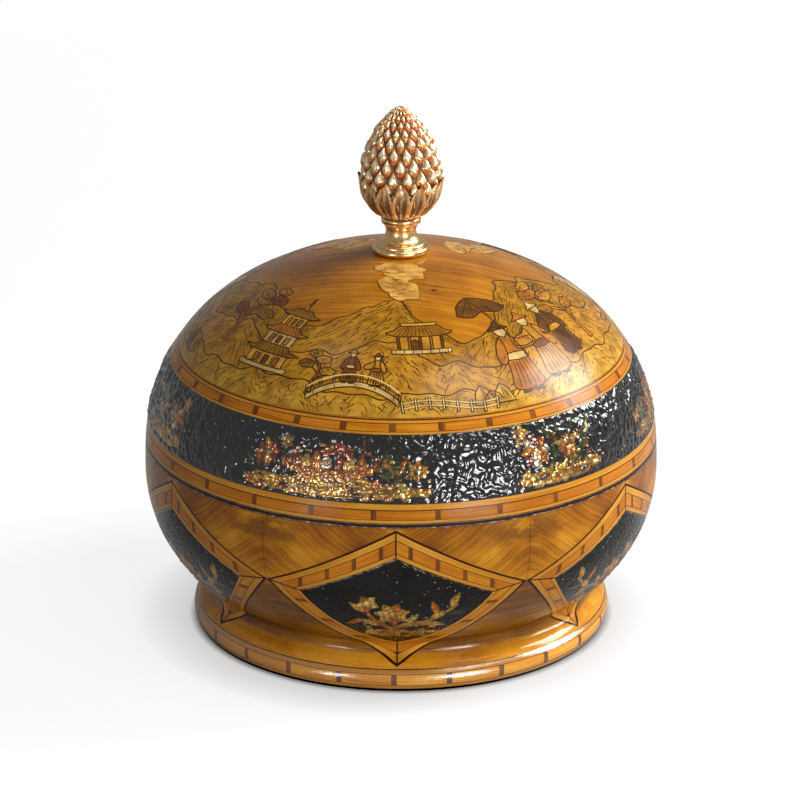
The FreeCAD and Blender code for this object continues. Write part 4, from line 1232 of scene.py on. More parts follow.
def build_band(material):
    """The wide lacquer band of the lid, with its raised islands."""
    low, high = length_at(BAND_LOW), length_at(BAND_HIGH)
    rows = round((high - low) / BAND_PITCH) + 1
    around = 2 * math.pi * BAND_RADIUS
    columns = round(around / BAND_PITCH)
    along = np.linspace(low, high, rows)[:, None]
    turned = np.linspace(-math.pi, math.pi, columns, endpoint=False)[None, :]
    along, turned = np.broadcast_arrays(along, turned)
    u, v = turned * BAND_RADIUS, along - low
    relief = Relief(u, v)
    for kind, turn, rise, scale, flip, seed in BAND_MOTIFS:
        spot = (math.radians(turn) * BAND_RADIUS, rise)
        kind(Motif(relief, spot, scale, flip, seed))
    bend_u, bend_v = bends(u, v, 9.0, 5, around)
    lumps = lacquer_grains(u + bend_u, v + bend_v, GRAIN_CELL, around)
    lumps = lumps * 0.75 + 0.9 * soft_noise(u, v, LUMP_CELL, 5.0, around)
    strength = 0.7 + 0.5 * soft_noise(u, v, PATCH_CELL, 7.0, around)
    edge = np.clip(np.minimum(v, (high - low) - v) / 1.2, 0, 1)
    proud = (lumps * strength * (1 - relief.cover * 0.85) + relief.rise - 0.6) * edge
    inner_along = np.linspace(high, low, BAND_INNER_ROWS)[:, None]
    points = np.concatenate([on_skin(turned, along, proud),
                             on_skin(turned[:1], inner_along, -VENEER)])
    band = Parts()
    band.add(points, grid_faces(len(points), columns, True), **relief.painted(BAND_INNER_ROWS, 0))
    band.piece("band_panel_lacquer", material, "lid", "black_lacquer", ("band_panel",))


PANEL_ROW_PITCH = 0.72
PANEL_COLUMNS = 150
PANEL_INNER_COLUMNS = 14
PANEL_EDGE = 0.02
PANEL_SPOT = (1.5, 15.5)
SPRAY_SCALE = 1.5
PANEL_MOTIFS = (
    # turn in degrees, scale, flip, seed
    (0, 1.0, 1, 21), (60, 1.0, -1, 22), (120, 0.95, 1, 23), (180, 1.0, 1, 24),
    (240, 1.0, -1, 25), (300, 1.0, 1, 26),
)
EDGE_CHIPS = 170
WIDEST = 152.47


def panel_half_width(z):
    """Half the width of a lozenge panel at a height, as seen from in front."""
    upper = PANEL_SIDE[0] * (PANEL_APEX - z) / (PANEL_APEX - PANEL_SIDE[1])
    centre = bow_centre(PANEL_SIDE, PANEL_BOTTOM, PANEL_BOW)
    lower = centre.x + np.sqrt(np.maximum(PANEL_BOW**2 - (z - centre.y) ** 2, 0))
    return np.where(z > PANEL_SIDE[1], upper, lower)


def worn_edges(relief, seed):
    """Pale chips along the two upper edges of a panel."""
    dice = np.random.default_rng(seed + 100)
    for number in range(EDGE_CHIPS):
        share = dice.uniform(0.0, 1.0)
        side = 1 if number % 2 else -1
        z = PANEL_APEX - share * (PANEL_APEX - PANEL_SIDE[1])
        spot = (side * share * PANEL_SIDE[0], float(length_at(z) - length_at(PANEL_BOTTOM)) - 0.6)
        outline = ragged(spot, dice.uniform(0.5, 1.2), dice.uniform(0.4, 0.9), dice, 6)
        relief.form(outline, (IVORY, PALE_GOLD, IVORY, BROWN)[number % 4], 0.3, 0.5, 1.4)


def build_panels(material):
    """The six lozenge panels, closed sheets of lacquer with a gilt spray on each.

    No point lies farther from the axis than WIDEST, so that none passes the CAD box."""
    rows = round((PANEL_APEX - PANEL_BOTTOM) / PANEL_ROW_PITCH) + 1
    z = np.linspace(PANEL_BOTTOM + PANEL_EDGE, PANEL_APEX - PANEL_EDGE, rows)[:, None]
    across = np.linspace(-1, 1, PANEL_COLUMNS)[None, :]
    half = panel_half_width(z)

    def on_panel(x):
        """Turn, length along the outline and radius of places across the panel."""
        along = length_at(np.broadcast_to(z, x.shape))
        r = on_outline(along)[0]
        return np.arcsin(np.clip(x / r, -1, 1)), along, r

    x = half * across
    turned, along, r = on_panel(x)
    back_turned, back_along, _ = on_panel(np.linspace(1, -1, PANEL_INNER_COLUMNS)[None, :] * half)
    v = along - length_at(PANEL_BOTTOM)
    to_end = np.minimum(z - PANEL_BOTTOM, PANEL_APEX - z)
    edge = np.clip(np.minimum((1 - np.abs(across)) * half, to_end), 0, 1)
    panels = Parts()
    for turn, scale, flip, seed in PANEL_MOTIFS:
        relief = Relief(x, v)
        spot = (PANEL_SPOT[0] * flip, PANEL_SPOT[1])
        spray(Motif(relief, spot, scale * SPRAY_SCALE, flip, seed))
        worn_edges(relief, seed)
        lumps = lacquer_lumps(x + turn * 7, v, coarse=3.0, fine=1.6, bend=4.0)
        proud = (lumps * 0.5 * (1 - relief.cover * 0.8) + relief.rise - 0.35) * edge
        shift = math.radians(turn)
        outer = on_skin(turned + shift, along, np.minimum(proud, WIDEST - r))
        inner = on_skin(back_turned + shift, back_along, -VENEER)
        points = np.concatenate([outer, inner], 1)
        panels.add(points, tube_faces(*points.shape[:2]), **relief.painted(0, PANEL_INNER_COLUMNS))
    panels.piece("lozenge_panel_lacquer", material, "base", "black_lacquer", ("lozenge_panels",),
                 sharp=70)


# Drawing on the crown: inlaid and inked forms, laid as thin closed sheets over the veneer

CROWN_START = length_at(CROWN_VENEER_LOW)
SHEET_LOW = -0.05
SHEET_BASE = 0.04
SHEET_STEP = 0.012
MOTIF_LEVEL = 4
INK_STEP = 2.0
BORDER_STEP = 3.0
GRID_STEP = 4.5
HAIR = 0.42
FINE = 0.48
INK = tint(34, 12, 2)
SOFT_INK = tint(72, 36, 4)
STRAW = tint(238, 188, 72)
CREAM = tint(242, 214, 138)
CLOUD = tint(248, 196, 100)
OLIVE = tint(202, 150, 32)
MOSS = tint(156, 108, 18)
HONEY = tint(212, 152, 44)
AMBER = tint(190, 116, 34)
MAROON = tint(108, 30, 18)
BLACK = tint(24, 18, 14)


def level_height(level):
    """How far a sheet stands over the veneer, by its level."""
    return SHEET_BASE + SHEET_STEP * level


def on_crown(turn, points, proud):
    """Skin points of a drawing whose points are (across, up) from a turn in degrees."""
    points = np.asarray(points, float)
    along = CROWN_START + points[..., 1]
    return on_skin(math.radians(turn) + points[..., 0] / on_outline(along)[0], along, proud)


class Drawing:
    """All that is laid on the crown: flat forms, and the ink over them."""

    def __init__(self):
        self.forms, self.lines = Parts(), Parts()

    def form(self, turn, outline, colour, level):
        """A filled outline, cut into triangles that follow the crown."""
        border = evenly(outline + outline[:1], BORDER_STEP)[:-1]
        low, high = np.min(border, 0), np.max(border, 0)
        grid_u, grid_v = np.meshgrid(np.arange(low[0] + 2, high[0] - 1, GRID_STEP),
                                     np.arange(low[1] + 2, high[1] - 1, GRID_STEP))
        gap, _ = distance_to_line(grid_u, grid_v, border + border[:1])
        inner = inside_outline(grid_u, grid_v, border) & (gap > 1.2)
        spots = border + list(zip(grid_u[inner], grid_v[inner]))
        edges = [(k, (k + 1) % len(border)) for k in range(len(border))]
        flat, _, faces, *_ = delaunay_2d_cdt([Vector(spot) for spot in spots], edges, [], 1, 1e-4)
        flat = np.array([tuple(spot) for spot in flat])
        count = len(flat)
        used = {(a, b) for face in faces for a, b in zip(face, face[1:] + face[:1])}
        walls = [(b, a, a + count, b + count) for a, b in used if (b, a) not in used]
        back = [[corner + count for corner in reversed(face)] for face in faces]
        points = np.concatenate([on_crown(turn, flat, level_height(level)),
                                 on_crown(turn, flat, SHEET_LOW)])
        self.forms.add(points, [*faces, *back, *walls], paint=np.tile(colour, (len(points), 1)))

    def ink(self, turn, path, width, level, colour=INK, taper=0.0):
        """A stroke of ink as a low closed ribbon."""
        path = np.array(evenly(path, INK_STEP))
        ahead = np.gradient(path, axis=0)
        ahead /= np.maximum(np.hypot(*ahead.T), 1e-9)[:, None]
        half = width / 2 * (1 - taper * np.linspace(0, 1, len(path)))
        side = np.stack([-ahead[:, 1], ahead[:, 0]], 1) * half[:, None]
        height = level_height(level)
        corners = [on_crown(turn, path + side * sign, proud)
                   for sign, proud in ((-1, height), (1, height), (1, SHEET_LOW), (-1, SHEET_LOW))]
        self.lines.add(np.stack(corners, 1), tube_faces(len(path), 4),
                       paint=np.tile(colour, (4 * len(path), 1)))


class Stamp:
    """One motif on the crown: where it stands, its size, and which way it faces."""

    def __init__(self, drawing, turn, rise, scale=1.0, flip=1, seed=1):
        self.drawing, self.turn, self.spot = drawing, turn, (0, rise)
        self.scale, self.flip = scale, flip
        self.level = MOTIF_LEVEL
        self.dice = np.random.default_rng(seed)

    def form(self, points, colour, outline=0.78):
        self.level += 1
        placed = moved(points, self.spot, self.scale, self.flip)
        self.drawing.form(self.turn, placed, colour, self.level)
        if outline:
            self.drawing.ink(self.turn, placed + placed[:1], outline, self.level + 0.5)

    def line(self, points, width, colour=INK, taper=0.0):
        placed = moved(points, self.spot, self.scale, self.flip)
        self.drawing.ink(self.turn, placed, width, self.level + 0.6, colour, taper)

    def box(self, x, y, width, height, colour):
        self.form([(x, y), (x + width, y), (x + width, y + height), (x, y + height)], colour)


def pagoda(stamp):
    """A tower of tiers, each with its own upturned roof."""
    y = 0.0
    stamp.box(-19, -3, 38, 3.4, CREAM)
    for tier, (wall, tiles) in enumerate(((STRAW, MOSS), (CREAM, AMBER), (STRAW, MOSS))):
        half = 14.5 - 3.2 * tier
        stamp.box(-half, y, 2 * half, 9.5, wall)
        for k, door in enumerate((AMBER, MAROON, AMBER)):
            x = -half * 0.68 + k * half * 0.55
            stamp.box(x, y + 1.2, half * 0.27, 5.6, door)
        for k in range(4):
            x = -half + 2 * half * k / 3
            stamp.line([(x, y), (x, y + 9)], 0.5)
        eave = half + 7.0
        roof = [(-eave, y + 10.6), (-eave * 0.72, y + 8.6), (eave * 0.72, y + 8.6),
                (eave, y + 10.6), (eave * 0.66, y + 11.6), (half * 0.74, y + 15.4),
                (-half * 0.74, y + 15.4), (-eave * 0.66, y + 11.6)]
        stamp.form(roof, tiles)
        for k in range(-4, 5):
            stamp.line([(k * eave * 0.16, y + 9.0), (k * half * 0.17, y + 15.0)], HAIR)
        y += 15.4
    stamp.form([(-2.2, y), (2.2, y), (0.5, y + 4), (0.3, y + 11), (-0.3, y + 11), (-0.5, y + 4)],
               HONEY)


def pavilion(stamp):
    """An open pavilion on a terrace, with a bowed roof."""
    stamp.box(-24, -3.4, 48, 4.2, CREAM)
    for k in range(7):
        stamp.line([(-21 + 7 * k, -3.2), (-21 + 7 * k, 0.6)], FINE)
    stamp.box(-18, 0.8, 36, 15, HONEY)
    for k in range(5):
        stamp.box(-18.6 + 8.7 * k, 0.8, 1.9, 15, (MAROON, AMBER)[k % 2])
    stamp.form([(-8, 0.8), (-8, 9), (-4.5, 11.5), (-1.4, 9), (-1.4, 0.8)], BLACK)
    roof = curved([(-27, 18.5), (-20, 15.2), (0, 14.6), (20, 15.2), (27, 18.5)], 4)
    roof += curved([(20, 21), (14, 26.5), (0, 28.5), (-14, 26.5), (-20, 21)], 4)
    stamp.form(roof, MOSS)
    for k in range(-6, 7):
        stamp.line([(k * 3.5, 15.6), (k * 2.1, 26.6 - abs(k) * 0.2)], HAIR)
    stamp.form([(-13, 26.4), (13, 26.4), (15, 29.5), (-15, 29.5)], STRAW)


BRIDGE_SPAN = 58


def bridge(stamp):
    """A humped bridge with a railing."""
    half, rise = BRIDGE_SPAN / 2, BRIDGE_SPAN * 0.20
    deck = [(x, rise * (1 - (x / half) ** 2)) for x in np.linspace(-half, half, 15)]
    under = [(x, y - 3.2 - 0.05 * rise) for x, y in reversed(deck)]
    stamp.form(deck + under, CREAM)
    for x, y in deck[::2]:
        stamp.box(x - 0.6, y, 1.2, 5.4, STRAW)
    stamp.line([(x, y + 4.6) for x, y in deck], 0.7, CREAM)
    stamp.line([(x, y + 2.5) for x, y in deck], FINE)
    for x, y in deck[1::3]:
        stamp.line([(x, y), (x + 1.2, y - 3)], HAIR)


def tree(stamp, leaf, pads):
    """A leaning tree with cloud-like pads of leaves."""
    trunk = curved([(-2.4, 0), (-1.2, 12), (-5, 24), (-1, 36), (0.6, 36), (-2.2, 24), (2, 12),
                    (2.6, 0)], 4)
    stamp.form(trunk, AMBER)
    for branch in ([(-3, 22), (6, 29), (13, 30)], [(0, 14), (-9, 21), (-15, 23)],
                   [(-1, 30), (5, 38), (9, 44)]):
        stamp.line(curved(branch, 4), 1.1, INK, 0.5)
    for number in range(pads):
        x = (-14, 13, -4, 8, -10, 2)[number % 6] + stamp.dice.uniform(-1.5, 1.5)
        y = (26, 32, 39, 46, 44, 53)[number % 6] + stamp.dice.uniform(-1, 1)
        size = stamp.dice.uniform(6.5, 9.0)
        outline = []
        for a in np.arange(0, 2 * math.pi, 2 * math.pi / 11):
            reach = size * (1 + 0.13 * math.sin(a * 5 + number))
            outline.append((x + reach * math.cos(a), y + reach * 0.56 * math.sin(a)))
        stamp.form(rounded(outline, 3), leaf[number % len(leaf)])
        for _ in range(9):
            u, v = stamp.dice.uniform(-0.7, 0.7, 2)
            a = (x + u * size * 0.8, y + v * size * 0.4)
            stamp.line([a, (a[0] + 1.8, a[1] + stamp.dice.uniform(-0.6, 1.4))], FINE)


def robed_figure(stamp, robe, sash, hat, pose=0.0):
    """A small standing figure in a long robe and a wide hat, with a plain face."""
    stamp.form([(-4.6, 0), (-1, 0.8), (-1.4, -1.4), (-5.4, -1.6)], BLACK)
    stamp.form([(1.4, 0.6), (5, 0.2), (6.2, -1.4), (1.6, -1.5)], BLACK)
    stamp.form(rounded([(-7.4, 0.6), (7.2, 0.4), (6.2, 9), (4.6, 19), (3.4, 26.5), (-3.6, 26.5),
                        (-4.6, 19), (-6.4, 9)], 3), robe)
    stamp.form(rounded([(-4.8, 14.5), (4.8, 14.2), (4.6, 17.6), (-4.8, 17.6)], 2), sash)
    reach = 9 + 5 * pose
    stamp.form(rounded([(2.6, 26), (5.6, 24), (reach, 18 + 7 * pose),
                        (reach + 1.2, 13.5 + 8 * pose), (reach - 3.4, 13 + 7 * pose),
                        (3.0, 19)], 3), robe)
    stamp.form(rounded([(-2.6, 26), (-6, 23.5), (-9, 17), (-8.4, 13), (-5.4, 13.6), (-3, 20)], 3),
               robe)
    for k in range(5):
        stamp.line([(-5 + 2.5 * k, 1.5), (-3.2 + 1.6 * k, 13.5)], FINE)
    stamp.form(rounded([(-2.6, 28.6), (0, 26.3), (2.6, 28.6), (2.4, 31.6), (-2.4, 31.6)], 3), CREAM)
    stamp.form([(-5.6, 31.0), (5.6, 31.0), (2.2, 33.2), (0, 36.2), (-2.2, 33.2)], hat)


def parasol(stamp, colour):
    """A parasol held over a figure."""
    stamp.line([(12, 12), (13, 46)], 0.8)
    rim = curved([(0, 41), (6, 39), (13, 41.5), (20, 39), (26, 41)], 3)
    stamp.form(rim + curved([(22, 47), (13, 52), (4, 47)], 3), colour)
    for k in range(-2, 3):
        stamp.line([(13 + k * 5.4, 41.0), (13, 51.5)], HAIR)


def sailing_boat(stamp):
    """A boat with a battened sail."""
    stamp.form(rounded([(-22, 5), (-15, 0), (12, 0), (23, 6), (14, 4.4), (-12, 4.2)], 3), AMBER)
    stamp.line([(0, 4), (0, 38)], 0.9)
    sail = curved([(1, 8), (13, 11), (16, 22), (10, 34), (1, 37)], 4)
    stamp.form(sail, CREAM)
    for k in range(5):
        stamp.line([(1, 11 + 5.4 * k), (13.4 - abs(k - 2) * 1.2, 13 + 4.8 * k)], FINE)
    stamp.box(-13, 4.2, 9, 6, STRAW)


def rocks(stamp, count, colours):
    """Pointed rocks, each hatched down one side."""
    for number in range(count):
        x = (number - count / 2) * 9 + stamp.dice.uniform(-2, 2)
        h = stamp.dice.uniform(7, 15)
        w = stamp.dice.uniform(6, 9)
        stamp.form([(x - w, -1), (x - w * 0.7, h * 0.6), (x - w * 0.1, h), (x + w * 0.5, h * 0.7),
                    (x + w, -1)], colours[number % len(colours)])
        for k in range(4):
            stamp.line([(x - w * 0.1 + k * 1.1, h * (0.92 - 0.14 * k)), (x + k * 1.7, 1.0)], FINE)


def cloud_bank(stamp, colour):
    """A pale ragged cloud of overlapping rags, with short strokes in them."""
    for x, y, wide, high in ((-4, 25, 14, 8), (5, 16, 14, 10), (-3, 5, 12, 11), (5, -6, 10, 12)):
        outline = rounded(ragged((x, y), wide, high, stamp.dice, 10), 3)
        stamp.form(outline, colour, 0)
        stamp.line(outline[len(outline) // 2:], 0.7, SOFT_INK, 0.6)
        for number in range(11):
            a, reach = stamp.dice.uniform(0, 2 * math.pi), stamp.dice.uniform(0.1, 0.9)
            u, v = x + wide * reach * math.cos(a) - 2, y + high * reach * math.sin(a)
            bend = stamp.dice.uniform(-2.0, 1.5)
            stamp.line(curved([(u, v), (u + 2.4, v + bend), (u + 4.6, v + bend * 0.2)], 3), 0.55,
                       SOFT_INK if number % 3 else AMBER, 0.5)


def railing(stamp, length, posts):
    """A pale fence that runs along a bank."""
    feet = [(-length / 2 + length * k / (posts - 1), 2.2 * math.sin(k * 0.8)) for k in range(posts)]
    for k, (x, y) in enumerate(feet):
        stamp.box(x - 0.8, y, 1.6, 8, CREAM)
        for rise in (2.2, 5.6) if k else ():
            left, low = feet[k - 1][0] + 0.8, feet[k - 1][1] + rise
            stamp.form([(left, low), (x - 0.8, y + rise), (x - 0.8, y + rise + 1.4),
                        (left, low + 1.4)], CREAM, 0.3)


HILLS = (
    # (turn in degrees, height of the skyline) round the crown, then colours low and high
    (((-180, 66), (-150, 44), (-122, 76), (-98, 52), (-74, 70), (-56, 62), (-34, 56), (-14, 78),
      (-2, 88), (10, 66), (22, 47), (34, 52), (48, 74), (62, 86), (78, 78), (96, 52), (118, 68),
      (140, 82), (160, 54)), MOSS, OLIVE),
    (((-180, 36), (-156, 52), (-128, 34), (-104, 44), (-80, 34), (-60, 44), (-40, 34), (-20, 40),
      (-4, 52), (14, 34), (30, 28), (48, 40), (70, 50), (88, 34), (112, 42), (138, 30), (160, 44)),
     OLIVE, HONEY),
    (((-180, 15), (-150, 20), (-120, 13), (-90, 20), (-60, 14), (-35, 19), (-10, 13), (12, 15),
      (35, 11), (60, 17), (90, 14), (125, 20), (155, 13)), STRAW, OLIVE),
)
HILL_COLUMNS = 300
HILL_ROWS = 14
HILL_RADIUS = 110
HATCH_STEPS = (2.0, 2.0, 1.6)
SKYLINE_STEPS = 25
SKYLINE_WIDTH = 0.85
STRONG_WIDTH = 0.72
WEAK_WIDTH = 0.52
STRONG_SHARE = 0.42
GROUND_LOW = 0.9


def skyline(stops, turned):
    """Height of a row of hills, a little rough, at turns in degrees."""
    places, heights = np.array(stops + ((stops[0][0] + 360, stops[0][1]),), float).T
    turned = (np.asarray(turned, float) + 180) % 360 - 180
    index = np.clip(np.searchsorted(places, turned, side="right") - 1, 0, len(stops) - 1)
    share = eased((turned - places[index]) / (places[index + 1] - places[index]))
    rough = 1.3 * np.sin(np.radians(turned) * 23) + 0.9 * np.sin(np.radians(turned) * 41 + 1)
    return heights[index] * (1 - share) + heights[index + 1] * share + rough


def draw_hills(drawing, dice):
    """Rows of hills round the crown, hatched along their slopes."""
    turned = np.linspace(-180, 180, HILL_COLUMNS, endpoint=False)
    angle = np.radians(turned)
    u, around = angle * HILL_RADIUS, 2 * math.pi * HILL_RADIUS
    share = np.linspace(0, 1, HILL_ROWS)[:, None]
    for level, (stops, low_colour, high_colour) in enumerate(HILLS):
        up = GROUND_LOW + (skyline(stops, turned) - GROUND_LOW) * share
        along = CROWN_START + up
        points = np.concatenate([on_skin(angle, along, level_height(level)),
                                 on_skin(angle, along[::-1], SHEET_LOW)])
        tone = soft_noise(u, up, 9.0, 3.0 + level, around) * 0.6 + 0.4 * share
        tone = tone + 0.35 * (soft_noise(u, up, 3.0, 6.0 + level, around) - 0.5)
        tone = np.clip(tone, 0, 1)[..., None]
        colour = np.array(low_colour) * (1 - tone) + np.array(high_colour) * tone
        drawing.forms.add(points, grid_faces(2 * HILL_ROWS, HILL_COLUMNS, True),
                          paint=np.concatenate([colour, colour[::-1]]).reshape(-1, 4))
        for start in range(0, HILL_COLUMNS, SKYLINE_STEPS):
            piece = turned[[(start + k) % HILL_COLUMNS for k in range(SKYLINE_STEPS + 1)]]
            piece = np.where(piece < piece[0], piece + 360, piece)
            path = [(math.radians(a - piece[0]) * float(on_outline(CROWN_START + h)[0]), h)
                    for a, h in zip(piece, skyline(stops, piece))]
            drawing.ink(float(piece[0]), path, SKYLINE_WIDTH, level + 0.6)
        hatch_hill(drawing, dice, level)


def hatch_hill(drawing, dice, level):
    """Short strokes between one skyline and the next lower one."""
    stops = HILLS[level][0]
    for turn in np.arange(-180, 180, HATCH_STEPS[level]):
        high = float(skyline(stops, turn))
        low = GROUND_LOW if level == 2 else float(skyline(HILLS[level + 1][0], turn))
        slope = float(skyline(stops, turn + 2) - skyline(stops, turn - 2)) / 7
        lean = -1 if slope > 0 else 1
        up = low + dice.uniform(1, 4)
        while up < high - 3:
            length = dice.uniform(3, 8)
            ahead = (lean * length * dice.uniform(0.35, 0.8), -length * dice.uniform(0.3, 0.9))
            shift = dice.uniform(-2, 2)
            bend = dice.uniform(-0.8, 0.8)
            start = (shift, min(up + length * 0.5, high - 1))
            end = (shift + ahead[0], max(start[1] + ahead[1], low + 0.5, GROUND_LOW + 0.5))
            middle = ((start[0] + end[0]) / 2 + bend, (start[1] + end[1]) / 2 + bend)
            strong = dice.random() < STRONG_SHARE
            width, colour = (STRONG_WIDTH, INK) if strong else (WEAK_WIDTH, SOFT_INK)
            drawing.ink(float(turn), curved([start, middle, end], 2), width, level + 0.3, colour,
                        0.6)
            up += dice.uniform(2.6, 4.6)


def shaded_figure(stamp, robe, sash, hat, pose, shade):
    """A figure under a parasol."""
    robed_figure(stamp, robe, sash, hat, pose)
    parasol(stamp, shade)


LEAFY = (MAROON, MOSS, AMBER)
CROWN_MOTIFS = (
    # kind, (turn in degrees, rise over the crown's foot, scale, flip, seed), and its own values
    (pagoda, (-42, 22, 0.95)),
    (tree, (-64, 26, 0.85, 1, 3), LEAFY, 6),
    (bridge, (-12, 11, 0.95)),
    (robed_figure, (-14, 21.5, 0.62), MAROON, CREAM, HONEY),
    (robed_figure, (-6, 20.5, 0.6, -1), HONEY, AMBER, BLACK, 0.5),
    (railing, (14, 3.5, 0.9), 62, 8),
    (tree, (-24, 12, 0.55, -1, 4), (OLIVE, MOSS), 4),
    (pavilion, (8, 44, 0.72, 1, 5)),
    (robed_figure, (38, 10, 1.35), AMBER, CREAM, BLACK, 0.8),
    (shaded_figure, (50, 14, 1.3, -1), HONEY, MAROON, AMBER, 0.6, BLACK),
    (robed_figure, (61, 22, 1.15, -1), BLACK, HONEY, CREAM, 0.2),
    (tree, (73, 22, 0.95, -1, 6), (AMBER, MOSS, HONEY), 6),
    (rocks, (28, 6, 0.8, 1, 7), 3, (STRAW, HONEY)),
    (cloud_bank, (-1, 99, 0.86), CLOUD),
    (sailing_boat, (100, 16)),
    (pagoda, (132, 26, 1.0, -1)),
    (tree, (150, 20, 0.9, 1, 8), LEAFY, 6),
    (cloud_bank, (116, 96, 0.7), CLOUD),
    (bridge, (172, 14)),
    (robed_figure, (176, 26, 0.75, -1), AMBER, BLACK, MAROON, 0.4),
    (pavilion, (-158, 28)),
    (tree, (-136, 24, 1.0, -1, 9), (MOSS, MAROON, OLIVE), 6),
    (robed_figure, (-122, 14, 1.1), HONEY, AMBER, BLACK, 0.7),
    (railing, (-140, 4), 66, 8),
    (sailing_boat, (-100, 14, 1.0, -1)),
    (cloud_bank, (-128, 98, 0.75), CLOUD),
    (rocks, (-80, 8, 0.9, 1, 10), 4, (HONEY, STRAW, MOSS)),
)


def build_drawing():
    """The hills, what stands on them, and the two pieces that hold it all."""
    drawing = Drawing()
    draw_hills(drawing, rng)
    for kind, place, *values in CROWN_MOTIFS:
        kind(Stamp(drawing, *place), *values)
    for parts, name, wood_name, show in ((drawing.forms, "crown_inlay", "inlay_wood", 0.34),
                                         (drawing.lines, "crown_ink", "ink_lines", 0.10)):
        parts.piece(name, drawn_wood(wood_name, show), "lid", "satinwood", smooth=False)


# Stage, light and camera, in metres

LAMP_TARGET = Vector((0, 0, 0.13))
REFLECTED_SHARE = 0.25
WORLD_LEVEL = 0.05
FLOOR_GLOW = 0.86
FLOOR_HALF = 3.0
FLOOR_FADE_MM = (1500, 1000)
SHADOW_REACH = 0.05
CONTACT_REACH = 0.005
WHITE = (1, 1, 1, 1)


def stand(holder, target, azimuth, elevation, distance):
    """Puts a lamp or camera at a turn and a height in degrees, facing its target."""
    turn, rise = math.radians(azimuth), math.radians(elevation)
    holder.location = target + distance * Vector(
        (math.cos(rise) * math.sin(turn), -math.cos(rise) * math.cos(turn), math.sin(rise))
    )
    holder.rotation_euler = (target - holder.location).to_track_quat("-Z", "Y").to_euler()


def softbox(name, azimuth, elevation, distance, width, height, power):
    """A soft lamp that faces the box."""
    lamp = bpy.data.lights.new(name, "AREA")
    lamp.shape = "RECTANGLE"
    lamp.size, lamp.size_y, lamp.energy = width, height, power
    stand(add_object(name, lamp), LAMP_TARGET, azimuth, elevation, distance)


def seen_share(tree):
    """1 for rays of the camera, and a share of it for rays of reflections and glass."""
    path = add_node(tree, "LightPath", {}).outputs
    camera, glossy, clear = (Field(tree, path[f"Is {kind} Ray"])
                             for kind in ("Camera", "Glossy", "Transmission"))
    return camera.math("MAXIMUM", glossy.math("MAXIMUM", clear) * REFLECTED_SHARE)


def build_stage():
    """A white world and a pale floor: the camera sees their glow, and reflections a share."""
    world = bpy.data.worlds.new("studio")
    bpy.context.scene.world = world
    world.use_nodes = True
    tree = world.node_tree
    background = tree.nodes["Background"]
    background.inputs["Color"].default_value = WHITE
    feed(tree, background.inputs["Strength"], seen_share(tree) * (1 - WORLD_LEVEL) + WORLD_LEVEL)

    mesh = bpy.data.meshes.new("floor")
    h = FLOOR_HALF
    mesh.from_pydata([(-h, -h, 0), (h, -h, 0), (h, h, 0), (-h, h, 0)], [], [(0, 1, 2, 3)])
    floor = add_object("floor", mesh)
    surface = Surface("floor_paper", Roughness=0.9, Specular_IOR_Level=0.1, Emission_Color=WHITE)
    speck = surface.noise((surface.x * 0.02, surface.y * 0.02, 0.0))
    surface.link("Base Color", speck * 0.02 + 0.20)
    level = surface.reach().above(*FLOOR_FADE_MM) * (1 - FLOOR_GLOW) + FLOOR_GLOW
    shadow = surface.openness(SHADOW_REACH) * 0.6 + 0.4
    glow = shadow * (surface.openness(CONTACT_REACH) * 1.3 - 0.3) * level
    surface.link("Emission Strength", seen_share(surface.tree) * glow)
    mesh.materials.append(surface.material)


LAMPS = (
    # name, turn and height in degrees, distance, width, height, power
    ("key", 104, 34, 1.6, 0.7, 0.7, 27),
    ("front_right", 33, 5, 1.7, 0.58, 0.46, 15.5),
    ("top_right", 60, 62, 1.5, 0.7, 0.7, 8.5),
    ("front_left", -33, 4, 1.7, 0.28, 0.36, 4.7),
    ("top_left", -105, 71, 1.5, 0.3, 0.3, 0.6),
)
AIM = Vector((0, 0, 0.1344))
CAMERA_DISTANCE = 2.754
CAMERA_ELEVATION = 20.45
CAMERA_AZIMUTH = 1.1
CAMERA_LENS = 208.44
CAMERA_SHIFT = -1 / 800
SENSOR_WIDTH = 36


def build_camera():
    camera = bpy.data.cameras.new("camera")
    camera.lens, camera.sensor_width, camera.shift_x = CAMERA_LENS, SENSOR_WIDTH, CAMERA_SHIFT
    holder = add_object("camera", camera)
    stand(holder, AIM, CAMERA_AZIMUTH, CAMERA_ELEVATION, CAMERA_DISTANCE)
    bpy.context.scene.camera = holder


# CAD nodes with their materials

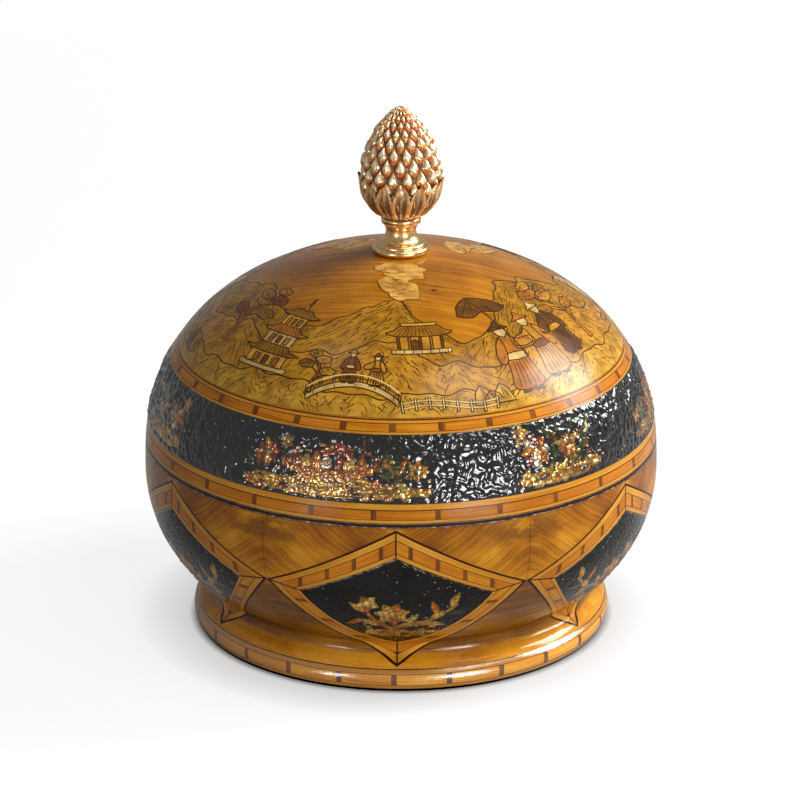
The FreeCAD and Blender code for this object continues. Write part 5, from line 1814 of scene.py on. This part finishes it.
def dress_nodes(band_lacquer, panel_lacquer):
    """A material of its own kind for every CAD node."""
    # The foot banding's blocks take the lighter ramp, as painted light on the foot.
    foot = banded_ring("foot_banding_wood", FOOT_LOW, FOOT_BANDING_TOP, FOOT_ROWS, FOOT_BLOCKS, 4.0,
                       FOOT_BLOCK_LIT, FOOT_BULGE, Coat_Weight=1.0, Coat_IOR=2.1, Coat_Roughness=0.11)
    lower = banded_ring("lower_banding_wood", EDGING_TOP, BAND_LOW, LOWER_ROWS, LOWER_BLOCKS, 14.0)
    upper = banded_ring("upper_banding_wood", BAND_HIGH, CROWN_VENEER_LOW, UPPER_ROWS, UPPER_BLOCKS,
                        24.0)
    gold = gilding("gilding_plain", (60, 24, 10), (150, 74, 34), False, 0.012)
    for material, nodes in (
        (core_wood(), "base_bowl floor_disc foot_plinth lid_dome lid_locating_ring"),
        (felt(), "base_felt base_floor_lining base_wall_lining lid_lining"),
        (steel(), "finial_stud finial_washer finial_nut"),
        (edging(), "base_rim_edging lid_rim_edging"),
        (foot, "foot_banding"),
        (lower, "lower_banding"),
        (upper, "upper_banding"),
        (apron_wood_painted_shade_and_light(), "apron_veneer"),
        (spandrel_wood(), "spandrel_veneer"),
        (crown_wood(), "crown_veneer"),
        (lozenge_frame(), "lozenge_banding"),
        (band_lacquer, "band_panel"),
        (panel_lacquer, "lozenge_panels"),
        (gold, "finial_neck finial_calyx finial_cone"),
    ):
        for node in nodes.split():
            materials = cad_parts[node].data.materials
            materials.clear()
            materials.append(material)


def build_box():
    """Dresses the CAD nodes and adds the pieces of the visual model."""
    band_lacquer = lacquer_relief("band_lacquer", 1.0, 1.75, 0.14)
    panel_lacquer = lacquer_relief("panel_lacquer", 5.0, 1.32, 0.10)
    dress_nodes(band_lacquer, panel_lacquer)
    build_cone(gilding("gilding_scales", (44, 18, 6), (132, 66, 24), metal=0.85))
    build_calyx(gilding("gilding_leaves", (34, 16, 6), (112, 64, 26), metal=0.8))
    build_band(band_lacquer)
    build_panels(panel_lacquer)
    build_drawing()


build_stage()
for lamp in LAMPS:
    softbox(*lamp)
build_camera()
build_box()
bpy.context.scene.view_settings.view_transform = "Standard"
